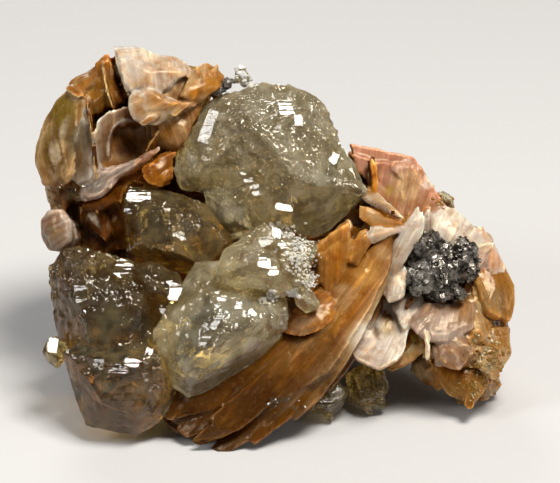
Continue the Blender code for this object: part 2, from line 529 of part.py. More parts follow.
# The knob at the right, and one small lump at the left edge: centre and radii
KNOB = [
    ((31.2, -14.0, -2.6), (7.8, 11.4, 8.0)),
    ((32.6, -22.6, -2.4), (5.6, 5.8, 6.0)),
    ((27.0, -20.6, -1.0), (5.4, 4.6, 5.6)),
    ((20.0, -11.0, -3.0), (6.5, 7.0, 6.5)),
    ((-37.2, 8.2, -1.4), (3.4, 3.4, 3.6)),
]
KNOB_ROUGHNESS = 0.12
KNOB_SEED = 40
GROUND_FACES = 13
GROUND_SEED = 20
FACE_SCATTER = 0.3  # how far a chunk's faces turn away from an even spread
FACE_REACH = (0.80, 0.94)  # how far out a chunk's face lies, as a share of the radius

# The sheaves of blades at the back
BOOKS_SEED = 31
BACK_DEPTH = -5.0  # chunks whose middle is nearer than this carry no sheaf
BACKWARDS = -0.6  # a sheaf stands out at least this far towards the back
BOOK_ROOT = 0.8  # the sheaf's root, as a share of the chunk's radius
BLADES_PER_BOOK = 3
BOOK_PITCH = 3.1
BLADE_SLIP = 2.0  # how far a blade may slide along its neighbours
BLADE_LEAN = 0.16
BLADE_LENGTH = (12.0, 19.0)
BLADE_BREADTH = (0.5, 0.7)  # as a share of the length
BLADE_THICKNESS = (1.4, 2.4)
BLADE_BEND = 0.6
BLADE_POINTS = 7


def chunk(centre, radii, seed):
    """A broken piece with flat faces, about as large as the ellipsoid of these radii."""
    rng = random.Random(seed)
    middle = seen(*centre)
    planes = []
    for i in range(GROUND_FACES):
        z = 1.0 - (2.0 * i + 1.0) / GROUND_FACES
        a = GOLDEN_ANGLE * i
        r = math.sqrt(1.0 - z * z)
        even = Vector((r * math.cos(a), r * math.sin(a), z))
        n = (even + FACE_SCATTER * unit_vector(rng)).normalized()
        reach = Vector([radii[k] * n[k] for k in range(3)]).length * rng.uniform(*FACE_REACH)
        planes.append((n, middle + n * reach))
    return block(planes)


def back_books():
    """Sheaves of blades that stand out of the ground at the back, each sheaf side by side."""
    rng = random.Random(BOOKS_SEED)
    blades = []
    for centre, radii in GROUND:
        if centre[2] > BACK_DEPTH:
            continue
        outwards = unit_vector(rng)
        while outwards.z > BACKWARDS:
            outwards = unit_vector(rng)
        tangent = outwards.cross(unit_vector(rng)).normalized()
        stacked = outwards.cross(tangent)
        root = Vector([centre[i] + radii[i] * outwards[i] * BOOK_ROOT for i in range(3)])
        for k in range(BLADES_PER_BOOK):
            beside = stacked * BOOK_PITCH * (k - 0.5 * (BLADES_PER_BOOK - 1))
            length = rng.uniform(*BLADE_LENGTH)
            lean = (stacked + BLADE_LEAN * unit_vector(rng)).normalized()
            slip = tangent * rng.uniform(-BLADE_SLIP, BLADE_SLIP)
            blades.append(dict(centre=root + beside + slip, along=tangent, normal=lean, length=length,
                               width=length * rng.uniform(*BLADE_BREADTH),
                               thickness=rng.uniform(*BLADE_THICKNESS),
                               bend=rng.uniform(-BLADE_BEND, BLADE_BEND), points=BLADE_POINTS))
    return blades


def barite_blocks():
    """The separate closed shapes that make up the barite."""
    made = [chunk(centre, radii, GROUND_SEED + i) for i, (centre, radii) in enumerate(GROUND)]
    made += [lump(centre, radii, KNOB_ROUGHNESS, KNOB_SEED + i) for i, (centre, radii) in enumerate(KNOB)]
    for form in ROSETTE_PLATES + UPPER_RIGHT_PLATES + KNOB_PLATES + FAN_PLATES:
        made += plates(**form)
    made += [fin(**form) for form in FINS + back_books()]
    return made


# The whole specimen


def blocks_of(name, grow=0.0):
    """The convex blocks of a crystal or the lumps of a galena cluster, grown for a socket."""
    if name in GALENA:
        return galena_blocks(grow=grow, **GALENA[name])
    made = []
    for i, form in enumerate(CRYSTALS[name]):
        seed = CRYSTAL_SEED_STEP * list(CRYSTALS).index(name) + i
        made.append(block(crystal_planes(seed=seed, **form), grow))
    return made


def under_the_floor():
    """Everything below the surface that the specimen stands on."""
    up = Vector((0.0, math.cos(FACE_LEAN), math.sin(FACE_LEAN)))
    return block([(up, up * -FLOOR_BELOW_FACE)])


def finish_object(obj, name, finish):
    """Names a piece, gives it its material and sets it on the floor, in metres."""
    obj.name = name
    obj.data.name = name
    obj.data.transform(face_to_world())
    colour, roughness, metallic = finish
    material = bpy.data.materials.new(name)
    material.use_nodes = True
    shader = material.node_tree.nodes["Principled BSDF"]
    shader.inputs["Base Color"].default_value = colour
    shader.inputs["Roughness"].default_value = roughness
    shader.inputs["Metallic"].default_value = metallic
    obj.data.materials.clear()
    obj.data.materials.append(material)


def main():
    for obj in list(bpy.data.objects):
        bpy.data.objects.remove(obj)

    placed = []
    for name in list(CRYSTALS) + list(GALENA):
        first, *others = blocks_of(name)
        combine(first, others, "UNION")
        combine(first, [cutter for other in placed for cutter in blocks_of(other, SOCKET_GAP)], "DIFFERENCE")
        keep_largest_body(first)
        finish_object(first, name, GALENA_FINISH if name in GALENA else CERUSSITE_FINISH)
        placed.append(name)

    ground, *others = barite_blocks()
    combine(ground, others, "UNION")
    combine(ground, [under_the_floor()], "DIFFERENCE")
    combine(ground, [cutter for other in placed for cutter in blocks_of(other, SOCKET_GAP)], "DIFFERENCE")
    keep_largest_body(ground)
    finish_object(ground, "barite_matrix", BARITE_FINISH)


main()
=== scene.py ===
"""The looks of the cerussite specimen: etched glassy crystals on bladed barite, with galena.

Shapes are worked out in the frame of the display face, in millimetres: u to the right, v up the
face and w out of it. The face leans back, and its frame is turned into the part's own, in metres.
"""

import math
import random

import bpy
import numpy as np
from mathutils import Matrix, Vector
from mathutils.bvhtree import BVHTree


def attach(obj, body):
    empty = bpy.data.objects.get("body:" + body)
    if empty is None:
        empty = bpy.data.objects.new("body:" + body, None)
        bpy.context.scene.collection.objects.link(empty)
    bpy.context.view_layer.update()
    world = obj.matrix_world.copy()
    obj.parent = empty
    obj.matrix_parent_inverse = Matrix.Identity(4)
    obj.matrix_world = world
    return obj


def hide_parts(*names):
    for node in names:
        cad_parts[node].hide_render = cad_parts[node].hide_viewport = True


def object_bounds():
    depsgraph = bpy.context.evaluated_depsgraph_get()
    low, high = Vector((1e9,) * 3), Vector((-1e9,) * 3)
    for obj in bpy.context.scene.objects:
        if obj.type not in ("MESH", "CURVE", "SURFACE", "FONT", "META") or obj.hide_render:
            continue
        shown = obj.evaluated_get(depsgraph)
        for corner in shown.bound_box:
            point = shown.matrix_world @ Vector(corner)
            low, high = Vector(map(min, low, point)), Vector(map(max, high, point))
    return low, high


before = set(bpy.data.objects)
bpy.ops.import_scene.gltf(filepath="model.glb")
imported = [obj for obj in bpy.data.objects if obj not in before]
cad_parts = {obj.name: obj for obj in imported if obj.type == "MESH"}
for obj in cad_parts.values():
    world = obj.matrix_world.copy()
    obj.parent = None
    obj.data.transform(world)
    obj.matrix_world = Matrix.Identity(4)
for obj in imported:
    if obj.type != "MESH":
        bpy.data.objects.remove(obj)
CAD_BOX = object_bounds()

# The frame of the display face, in millimetres
MM = 0.001
FACE_LEAN = math.radians(25.0)
FACE_CENTRE = (1.05, -1.35, 26.3)  # in the part's frame
VIEWING_DISTANCE = 529.0
LEAN_COS, LEAN_SIN = math.cos(FACE_LEAN), math.sin(FACE_LEAN)
TO_WORLD = np.array(((1.0, 0.0, 0.0), (0.0, LEAN_SIN, -LEAN_COS), (0.0, LEAN_COS, LEAN_SIN)))
OUT_OF_FACE = np.array((0.0, 0.0, 1.0))

# Fineness of the meshes, in millimetres
CRYSTAL_VOXEL = 0.23
MEDIUM_VOXEL = 0.2
SMALL_VOXEL = 0.16
GROUND_VOXEL = 0.54
SKIN_VOXEL = 0.29
PLATE_SPACING = 0.42


def to_world(points):
    """Points of the face's frame, in the part's frame and in metres."""
    return (points @ TO_WORLD.T + np.array(FACE_CENTRE)) * MM


def to_face(points):
    """Points of the part's frame, in metres, in the frame of the display face."""
    return (points / MM - np.array(FACE_CENTRE)) @ TO_WORLD


def direction_to_world(vector):
    return Vector(TO_WORLD @ np.array(vector, float)).normalized()


def unit(vectors):
    vectors = np.asarray(vectors, float)
    length = np.linalg.norm(vectors, axis=-1, keepdims=True)
    return vectors / np.maximum(length, 1e-9)


def seen(u, v, w):
    """The point at depth w that the camera sees at (u, v) on the face."""
    nearer = (VIEWING_DISTANCE - w) / VIEWING_DISTANCE
    return np.array((u * nearer, v * nearer, w))


def looked_at(tree, u, v):
    """The first point of the tree's mesh that the camera sees at (u, v), and the way it faces."""
    start = OUT_OF_FACE * VIEWING_DISTANCE
    point, normal, _, _ = tree.ray_cast(start, unit((u, v, -VIEWING_DISTANCE)))
    return point, normal


def ramp(x, low, high):
    """0 below low, 1 above high, and smooth in between."""
    t = np.clip((x - low) / (high - low), 0.0, 1.0)
    return t * t * (3.0 - 2.0 * t)


def inside(u, v, spot, inner, outer):
    """1 within the inner radius of a spot on the face, 0 beyond the outer one."""
    return 1.0 - ramp(np.hypot(u - spot[0], v - spot[1]), inner, outer)


# Noise. Each kind takes points, a pitch in millimetres and a seed, and its result depends on
# nothing else

HASH_FACTORS = (374761393, 668265263, 1103515245, 974634777)
HASH_ROUNDS = ((13, 1274126177), (16, 2246822519))
HASH_MASK = 0xFFFFFFFF
HASH_KEPT = 0xFFFFFF


def scramble(ix, iy, iz, seed):
    """A number from 0 to 1 for each whole-number point."""
    a, b, c, d = HASH_FACTORS
    h = (ix * a + iy * b + iz * c + seed * d) & HASH_MASK
    for shift, factor in HASH_ROUNDS:
        h = ((h ^ (h >> shift)) * factor) & HASH_MASK
    return ((h ^ (h >> 15)) & HASH_KEPT) / float(HASH_KEPT)


def noise(points, pitch, seed):
    """Smooth noise from -1 to 1, with features about as large as the pitch."""
    p = np.asarray(points, float) / pitch
    base = np.floor(p).astype(np.int64)
    f = p - base
    f = f * f * (3.0 - 2.0 * f)
    total = np.zeros(len(p))
    for corner in range(8):
        dx, dy, dz = corner & 1, corner >> 1 & 1, corner >> 2 & 1
        weight = (f[:, 0] if dx else 1.0 - f[:, 0]) * (f[:, 1] if dy else 1.0 - f[:, 1])
        weight = weight * (f[:, 2] if dz else 1.0 - f[:, 2])
        total += weight * scramble(base[:, 0] + dx, base[:, 1] + dy, base[:, 2] + dz, seed)
    return 2.0 * total - 1.0


def rough_noise(points, pitch, octaves, seed):
    """Noise with ever finer and weaker detail, roughly from -1 to 1."""
    total, share = np.zeros(len(points)), 1.0
    for k in range(octaves):
        total += share * noise(points, pitch / 2**k, seed + 17 * k)
        share *= 0.5
    return total / (2.0 - 2.0 * share)


def cells_around(base, numbers, seed):
    """Each cell next to the points' own cells, and its random numbers."""
    for dx in (-1, 0, 1):
        for dy in (-1, 0, 1):
            for dz in (-1, 0, 1):
                cell = base + np.array((dx, dy, dz))
                x, y, z = cell.T
                yield cell, np.column_stack([scramble(x, y, z, seed + k) for k in range(numbers)])


def facets(points, pitch, seed):
    """A height made of flat facets, each tilted its own way and about as wide as the pitch."""
    p = np.asarray(points, float) / pitch
    base = np.floor(p).astype(np.int64)
    nearest = np.full(len(p), 1e9)
    height = np.zeros(len(p))
    for cell, spots in cells_around(base, 6, seed):
        offset = p - cell - spots[:, :3]
        away = (offset**2).sum(axis=1)
        tilt = spots[:, 3:] - 0.5
        closer = away < nearest
        nearest = np.where(closer, away, nearest)
        height = np.where(closer, 2.0 * (offset * tilt).sum(axis=1), height)
    return height * pitch


def hillocks(points, pitch, seed, turn=0.5):
    """How far below the tops of small pyramids, all set the same way, the surface lies."""
    c, s = math.cos(turn), math.sin(turn)
    p = np.asarray(points, float) @ np.array(((c, -s, 0.0), (s, c, 0.2), (0.0, -0.2, 1.0))) / pitch
    base = np.floor(p).astype(np.int64)
    nearest = np.full(len(p), 1e9)
    for cell, spots in cells_around(base, 3, seed):
        nearest = np.minimum(nearest, np.abs(p - cell - spots).sum(axis=1))
    return nearest * pitch


# Meshes


def linked(name, data):
    """A new object in the scene."""
    obj = bpy.data.objects.new(name, data)
    bpy.context.scene.collection.objects.link(obj)
    return obj


def point_values(mesh, key):
    """The places ("co") or the normals ("normal") of a mesh's points, one row each."""
    values = np.zeros(len(mesh.vertices) * 3)
    mesh.vertices.foreach_get(key, values)
    return values.reshape(-1, 3)


def mesh_object(name, points, faces, attributes, sharp):
    """A shown object of these points, in the face's frame, with edges sharp above an angle."""
    mesh = bpy.data.meshes.new(name)
    placed = np.clip(to_world(np.asarray(points)), np.array(CAD_BOX[0]), np.array(CAD_BOX[1]))
    mesh.from_pydata(placed.tolist(), [], faces)
    mesh.polygons.foreach_set("use_smooth", np.ones(len(mesh.polygons), bool))
    mesh.set_sharp_from_angle(angle=math.radians(sharp))
    for key, values in attributes.items():
        carry(mesh, key, values)
    return linked(name, mesh)


def carry(mesh, key, values, colour=False):
    """Keeps a number, a vector or a colour for each point of the mesh."""
    if colour:
        layer = mesh.color_attributes.new(key, "FLOAT_COLOR", "POINT")
        rgba = np.column_stack([values, np.ones(len(values))])
        layer.data.foreach_set("color", rgba.astype(np.float32).ravel())
    elif values.ndim == 2:
        layer = mesh.attributes.new(key, "FLOAT_VECTOR", "POINT")
        layer.data.foreach_set("vector", values.astype(np.float32).ravel())
    else:
        layer = mesh.attributes.new(key, "FLOAT", "POINT")
        layer.data.foreach_set("value", values.astype(np.float32))


def show(obj, material, nodes=()):
    """Gives a piece its material and ties it to the frame."""
    obj.data.materials.append(material)
    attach(obj, "root")
    if nodes:
        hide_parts(*nodes)


def node_mesh(name):
    """A CAD node's corners in the face's frame, and its triangles."""
    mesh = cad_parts[name].data
    mesh.calc_loop_triangles()
    triangles = np.zeros(len(mesh.loop_triangles) * 3, int)
    mesh.loop_triangles.foreach_get("vertices", triangles)
    return to_face(point_values(mesh, "co")), triangles.reshape(-1, 3)


def remeshed(points, faces, voxel):
    """The same solid as a fine even mesh: its points, their normals and its faces."""
    mesh = bpy.data.meshes.new("coarse")
    mesh.from_pydata(points.tolist(), [], [[int(i) for i in face] for face in faces])
    obj = linked("coarse", mesh)
    modifier = obj.modifiers.new("remesh", "REMESH")
    modifier.mode = "VOXEL"
    modifier.voxel_size = voxel
    modifier.adaptivity = 0.0
    graph = bpy.context.evaluated_depsgraph_get()
    fine = bpy.data.meshes.new_from_object(obj.evaluated_get(graph))
    bpy.data.objects.remove(obj)
    faces = [tuple(polygon.vertices) for polygon in fine.polygons]
    return point_values(fine, "co"), point_values(fine, "normal"), faces


def cut_back(points, normals, depth):
    """The points, moved in from the surface by their own depths."""
    return points - unit(normals) * depth[:, None]


def sides_of(faces):
    """Both ends of every side of the faces."""
    return np.array([(face[i - 1], face[i]) for face in faces for i in range(len(face))])


def smoothed(values, sides, rounds, share=0.5):
    """The values at a mesh's points, moved again and again towards the mean of the points around."""
    a, b = sides.T
    count = len(values)
    around = np.maximum(np.bincount(a, minlength=count) + np.bincount(b, minlength=count), 1)
    columns = values.reshape(count, -1).copy()
    for _ in range(rounds):
        for k in range(columns.shape[1]):
            column = columns[:, k]
            total = np.bincount(a, column[b], count) + np.bincount(b, column[a], count)
            columns[:, k] = column + share * (total / around - column)
    return columns.reshape(values.shape)


def tree_of(points, faces):
    return BVHTree.FromPolygons(points.tolist(), faces if isinstance(faces, list) else faces.tolist())


def joined_tree(meshes):
    """One tree of several meshes, each given as points and faces."""
    points, polygons, count = [], [], 0
    for p, faces in meshes:
        points.append(p)
        polygons += [tuple(int(i) + count for i in face) for face in faces]
        count += len(p)
    return tree_of(np.vstack(points), polygons)


# How deep in a recess a point lies

RAYS = 10  # for each point
RAY_START = 0.7
RAY_REACH = 16.0
FAR_HIT_LOSS = 0.6  # how much less a hit at the end of a ray counts
GOLDEN_TURN = math.pi * (3.0 - math.sqrt(5.0))


def recess(points, normals, tree):
    """How much of what a point faces is close by: 0 in the open, 1 deep in a recess."""
    normals = unit(normals)
    helper = np.where(np.abs(normals[:, 2:3]) < 0.9, (0.0, 0.0, 1.0), (1.0, 0.0, 0.0))
    side = unit(np.cross(helper, normals))
    other = np.cross(normals, side)
    starts = points + normals * RAY_START
    hidden = np.zeros(len(points))
    for k in range(RAYS):
        z = 1.0 - (k + 0.5) / RAYS
        r = math.sqrt(1.0 - z * z)
        turn = GOLDEN_TURN * k
        ways = side * (r * math.cos(turn)) + other * (r * math.sin(turn)) + normals * z
        for i, (start, way) in enumerate(zip(starts.tolist(), ways.tolist())):
            _, hit_normal, _, away = tree.ray_cast(start, way, RAY_REACH)
            if away is not None and hit_normal.dot(way) < 0.0:
                hidden[i] += 1.0 - FAR_HIT_LOSS * away / RAY_REACH
    return hidden / RAYS


# Light and camera. Directions are from the specimen, in the face's frame. Those of the first two
# lights also set how the bright facets of the crystals lie

KEY_DIRECTION = (0.28, 0.72, 0.64)
SIDE_DIRECTION = (-0.72, 0.36, 0.60)
LIGHTS = [  # name, direction, distance and size in metres, power, colour
    ("key", KEY_DIRECTION, 0.62, (0.26, 0.20), 6.0, (1.0, 0.97, 0.93)),
    ("side", SIDE_DIRECTION, 0.70, (0.22, 0.16), 1.7, (0.97, 0.98, 1.0)),
    ("right", (0.90, 0.15, 0.45), 0.80, (0.30, 0.30), 1.3, (1.0, 0.98, 0.95)),
    ("back", (-0.25, 0.85, -0.45), 0.80, (0.35, 0.25), 2.0, (1.0, 1.0, 1.0)),
]
SKY_COLOUR = (0.96, 0.97, 1.0, 1.0)
SKY_STRENGTH = 0.115
LENS = 200.0
SENSOR_WIDTH = 36.0
FLOOR_COLOUR = (0.50, 0.49, 0.475, 1.0)
FLOOR_ROUGHNESS = 0.7
FLOOR_REACH = 3.0


def aim(obj, direction, distance):
    """Puts a light or camera at a distance from the middle of the specimen, and turns it there."""
    way = direction_to_world(direction)
    obj.location = Vector(FACE_CENTRE) * MM + way * distance
    obj.rotation_mode = "QUATERNION"
    obj.rotation_quaternion = way.to_track_quat("Z", "Y")


def add_area_light(name, direction, distance, size, power, colour):
    """A soft oblong light."""
    data = bpy.data.lights.new(name, "AREA")
    data.shape = "RECTANGLE"
    data.size, data.size_y = size
    data.energy = power
    data.color = colour
    aim(linked(name, data), direction, distance)


def add_camera():
    data = bpy.data.cameras.new("camera")
    data.lens = LENS
    data.sensor_width = SENSOR_WIDTH
    camera = linked("camera", data)
    aim(camera, OUT_OF_FACE, VIEWING_DISTANCE * MM)
    bpy.context.scene.camera = camera


def add_floor():
    mesh = bpy.data.meshes.new("floor")
    corners = [(x * FLOOR_REACH, y * FLOOR_REACH, 0.0) for x, y in ((-1, -1), (1, -1), (1, 1), (-1, 1))]
    mesh.from_pydata(corners, [], [(0, 1, 2, 3)])
    material = bpy.data.materials.new("floor")
    material.use_nodes = True
    shader = material.node_tree.nodes["Principled BSDF"]
    shader.inputs["Base Color"].default_value = FLOOR_COLOUR
    shader.inputs["Roughness"].default_value = FLOOR_ROUGHNESS
    mesh.materials.append(material)
    floor = linked("floor", mesh)


def add_world():
    world = bpy.data.worlds.new("studio")
    world.use_nodes = True
    background = world.node_tree.nodes["Background"]
    background.inputs["Color"].default_value = SKY_COLOUR
    background.inputs["Strength"].default_value = SKY_STRENGTH
    bpy.context.scene.world = world


# Materials


class Nodes:
    """A material's nodes, added one at a time."""

    def __init__(self, name):
        self.material = bpy.data.materials.new(name)
        self.material.use_nodes = True
        self.tree = self.material.node_tree
        self.shader = self.tree.nodes["Principled BSDF"]
        self.output = self.tree.nodes["Material Output"]

    def add(self, kind, inputs=None, **settings):
        """A node with these settings. Inputs are numbers, colours or another node's output."""
        node = self.tree.nodes.new(kind)
        for key, value in settings.items():
            setattr(node, key, value)
        self.feed(node, inputs or {})
        return node

    def feed(self, node, inputs):
        for key, value in inputs.items():
            if isinstance(value, bpy.types.NodeSocket):
                self.tree.links.new(value, node.inputs[key])
            else:
                node.inputs[key].default_value = value

    def place(self, stretch=None):
        """Places in the face's frame, in millimetres, each axis stretched."""
        where = self.add("ShaderNodeTexCoord").outputs["Object"]
        turn = (FACE_LEAN - math.pi / 2.0, 0.0, 0.0)
        grown = (1.0 / MM, 1.0 / MM, 1.0 / MM)
        upright = self.add("ShaderNodeMapping", {"Vector": where, "Rotation": turn, "Scale": grown})
        if stretch is None:
            return upright.outputs["Vector"]
        made = {"Vector": upright.outputs["Vector"], "Scale": stretch}
        return self.add("ShaderNodeMapping", made).outputs["Vector"]

    def attribute(self, name, output="Fac"):
        return self.add("ShaderNodeAttribute", attribute_name=name).outputs[output]

    def noise(self, vector, scale=1.0, detail=3.0, roughness=0.6):
        made = {"Vector": vector, "Scale": scale, "Detail": detail, "Roughness": roughness}
        return self.add("ShaderNodeTexNoise", made).outputs["Fac"]

    def vector(self, operation, a, b=None, scale=None):
        node = self.add("ShaderNodeVectorMath", operation=operation)
        self.feed(node, {0: a})
        if b is not None:
            self.feed(node, {1: b})
        if scale is not None:
            self.feed(node, {"Scale": scale})
        return node.outputs["Vector"]

    def spread(self, value, low, high, to_low=0.0, to_high=1.0):
        made = {"Value": value, "From Min": low, "From Max": high, "To Min": to_low, "To Max": to_high}
        return self.add("ShaderNodeMapRange", made).outputs["Result"]

    def mix(self, factor, a, b, blend="MIX"):
        node = self.add("ShaderNodeMix", data_type="RGBA", blend_type=blend)
        self.feed(node, {0: factor, 6: a, 7: b})
        return node.outputs[2]

    def bump(self, height, depth, strength, normal=None):
        """depth is in millimetres for a height of 1."""
        made = {"Height": height, "Distance": depth * MM, "Strength": strength}
        if normal is not None:
            made["Normal"] = normal
        return self.add("ShaderNodeBump", made).outputs["Normal"]

    def tilted(self, normal, cells_per_mm, amount, where):
        """The normal, tilted by the same amount all over each small cell, for flat glints."""
        cells = self.add("ShaderNodeTexVoronoi", {"Vector": where, "Scale": cells_per_mm})
        tilt = self.vector("SUBTRACT", cells.outputs["Color"], (0.5, 0.5, 0.5))
        tilt = self.vector("SCALE", tilt, scale=amount)
        return self.vector("NORMALIZE", self.vector("ADD", normal, tilt))


CERUSSITE_IOR = 1.52
CERUSSITE_ABSORBS = (0.67, 0.53, 0.13, 1.0)
CERUSSITE_LOOKS = {  # clear and hazy transmission, density of the absorption, colour, veil, dullness
    "pale": (0.93, 0.74, 75.0, (0.84, 0.75, 0.47, 1.0), (0.86, 0.79, 0.58, 1.0), 0.0),
    "deep": (0.98, 0.89, 200.0, (0.82, 0.68, 0.34, 1.0), (0.76, 0.60, 0.26, 1.0), 0.0),
    "frost": (0.45, 0.25, 1.0, (0.80, 0.78, 0.73, 1.0), (0.86, 0.79, 0.58, 1.0), 0.2),
}
BARITE_IOR = 1.5
PALE_FIBRE = (2.5, 2.2, 1.8, 1.0)
STAINED_FIBRE = (0.52, 0.27, 0.08, 1.0)
DARK_LINE, PALE_LINE = (0.72, 0.64, 0.54, 1.0), (1.28, 1.30, 1.36, 1.0)
SPECK_COLOUR = (0.05, 0.025, 0.012, 1.0)
WARM_GLOSS = (1.0, 0.82, 0.58, 1.0)
GLOW_RADIUS, GLOW_SCALE = (1.0, 0.55, 0.28), 0.0024
GALENA_DARK, GALENA_BRIGHT = (0.036, 0.030, 0.024, 1.0), (0.30, 0.27, 0.23, 1.0)
GALENA_DULL = (0.13, 0.118, 0.098, 1.0)


def cerussite_material(look):
    """Clear, olive and a little hazy, with etched glints where the surface is rough."""
    clear, hazy, density, colour, veil, dull = CERUSSITE_LOOKS[look]
    made = Nodes("cerussite_" + look)
    where = made.place()
    rough, stripe = made.attribute("rough"), made.attribute("stripe")
    lines = made.noise(made.place((0.18, 2.6, 0.9)))
    veils = made.noise(where, 0.30, detail=5.0, roughness=0.65)
    pits = made.noise(where, 1.5)
    ridges = made.noise(made.place((0.12, 2.6, 0.1)), detail=2.0)
    striped = made.bump(lines, 0.07, 0.35)
    pitted = made.bump(pits, 0.20, made.spread(rough, 0.0, 1.0, 0.04, 0.75), striped)
    glints = made.tilted(pitted, 1.1, made.spread(rough, 0.35, 1.0, 0.0, 0.30), where)
    bars = made.vector("SCALE", (0.05, -0.10, -0.30), scale=made.spread(ridges, 0.48, 0.53))
    bars = made.vector("SCALE", bars, scale=stripe)
    barred = made.vector("NORMALIZE", made.vector("ADD", glints, bars))
    made.feed(made.shader, {
        "Base Color": made.mix(made.spread(veils, 0.40, 0.70), colour, veil),
        "Transmission Weight": made.spread(veils, 0.42, 0.72, clear, hazy),
        "IOR": CERUSSITE_IOR,
        "Roughness": made.spread(veils, 0.45, 0.75, 0.03 + dull, 0.12 + dull),
        "Normal": barred,
    })
    absorption = {"Color": CERUSSITE_ABSORBS, "Density": density}
    volume = made.add("ShaderNodeVolumeAbsorption", absorption).outputs["Volume"]
    made.tree.links.new(volume, made.output.inputs["Volume"])
    return made.material


def barite_material():
    """Waxy and bladed, in the colours that the mesh carries.

    The mesh's grain is across and along the fibres of a blade, and in from its rim.
    """
    made = Nodes("barite")
    where = made.place()
    tone = made.attribute("tone", "Color")
    grain = made.attribute("grain", "Vector")
    fibres = made.noise(made.vector("MULTIPLY", grain, (1.1, 0.10, 0.0)), detail=4.0)
    terraces = made.noise(made.vector("MULTIPLY", grain, (0.12, 0.05, 2.2)), detail=2.0)
    lines = made.noise(made.vector("MULTIPLY", grain, (3.6, 0.12, 0.0)), detail=2.0)
    cloud = made.noise(where, 0.42, detail=4.0)
    specks = made.noise(where, 3.6, detail=2.0)
    height = made.noise(where, 0.9, detail=4.0)
    pale = made.mix(made.spread(fibres, 0.48, 0.28, 0.0, 0.45), tone, PALE_FIBRE, "MULTIPLY")
    streaked = made.mix(made.spread(fibres, 0.48, 0.70, 0.0, 0.42), pale, STAINED_FIBRE, "MULTIPLY")
    stained = made.mix(made.spread(cloud, 0.48, 0.68, 0.0, 0.55), streaked, STAINED_FIBRE, "MULTIPLY")
    dusted = made.mix(made.spread(specks, 0.72, 0.75, 0.0, 0.6), stained, SPECK_COLOUR)
    lined = made.mix(made.spread(lines, 0.36, 0.64), DARK_LINE, PALE_LINE)
    relief = made.bump(height, 0.10, 0.25)
    relief = made.bump(terraces, 0.10, 0.20, relief)
    relief = made.bump(fibres, 0.12, 0.25, relief)
    made.feed(made.shader, {
        "Base Color": made.mix(0.28, dusted, lined, "MULTIPLY"),
        "Roughness": made.spread(height, 0.3, 0.7, 0.14, 0.32),
        "IOR": BARITE_IOR,
        "Specular IOR Level": 0.30,
        "Specular Tint": WARM_GLOSS,
        "Subsurface Weight": 0.7,
        "Subsurface Radius": GLOW_RADIUS,
        "Subsurface Scale": GLOW_SCALE,
        "Normal": relief,
    })
    return made.material


def galena_material():
    """Dark brown-grey with a metallic lustre and a glint from every small face, and a dull side."""
    made = Nodes("galena")
    where = made.place()
    dull = made.attribute("dull")
    normal = made.add("ShaderNodeNewGeometry").outputs["Normal"]
    glints = made.tilted(normal, 1.6, 0.40, where)
    glints = made.tilted(glints, 3.6, 0.30, where)
    tarnish = made.noise(where, 0.55, detail=5.0)
    dark = made.mix(made.spread(tarnish, 0.40, 0.66), GALENA_DARK, GALENA_BRIGHT)
    made.feed(made.shader, {
        "Base Color": made.mix(made.spread(dull, 0.0, 1.0, 0.0, 0.65), dark, GALENA_DULL),
        "Metallic": made.spread(dull, 0.0, 1.0, 0.85, 0.35),
        "Roughness": made.spread(tarnish, 0.3, 0.7, 0.20, 0.45),
        "Normal": glints,
    })
    return made.material


# Crystals. The rough places of each are (u, v, radius, how rough), over its general roughness, and
# a raised place is (u, v, radius, height)

CRYSTALS = {
    "cerussite_upper": dict(voxel=CRYSTAL_VOXEL, rough=0.35, raised=[(15.5, 10.5, 7.0, 2.2)], spots=[
        (-4.0, 16.0, 11.0, 1.0), (5.0, 18.0, 8.0, 1.0), (-13.0, 12.0, 6.0, 0.8), (12.0, 8.0, 4.5, 1.0),
        (2.5, 4.0, 4.5, 0.1), (8.0, 4.0, 4.5, 0.1)]),
    "cerussite_middle": dict(voxel=0.22, rough=0.22, deep=True, spots=[(-15.5, 4.0, 3.6, 0.95)]),
    "cerussite_lower": dict(voxel=CRYSTAL_VOXEL, rough=0.35, deep=True, turn=0.1, spots=[
        (-30.0, -4.5, 7.0, 1.0), (-36.0, -8.0, 6.0, 0.8), (-23.0, -7.0, 4.0, 0.9),
        (-27.0, -26.0, 6.0, 0.15)]),
    "cerussite_front": dict(voxel=CRYSTAL_VOXEL, rough=0.25, spots=[
        (-10.0, -14.0, 3.0, 0.6), (-2.0, -13.0, 4.0, 0.5)]),
    "cerussite_centre": dict(voxel=MEDIUM_VOXEL, rough=0.75, spots=[(-8.0, -3.0, 3.5, 0.4)]),
    "cerussite_stub": dict(voxel=SMALL_VOXEL, rough=0.2),
    "cerussite_crown": dict(voxel=SMALL_VOXEL, rough=0.7),
    "cerussite_foot_left": dict(voxel=MEDIUM_VOXEL, rough=0.7, deep=True),
    "cerussite_foot_right": dict(voxel=MEDIUM_VOXEL, rough=0.7, deep=True),
    "cerussite_edge": dict(voxel=SMALL_VOXEL, rough=0.8),
}
SPOT_EDGE = (0.6, 1.25)  # where a rough place begins to fade and where it ends, in its radii
RAISED_EDGE = (0.3, 1.0)

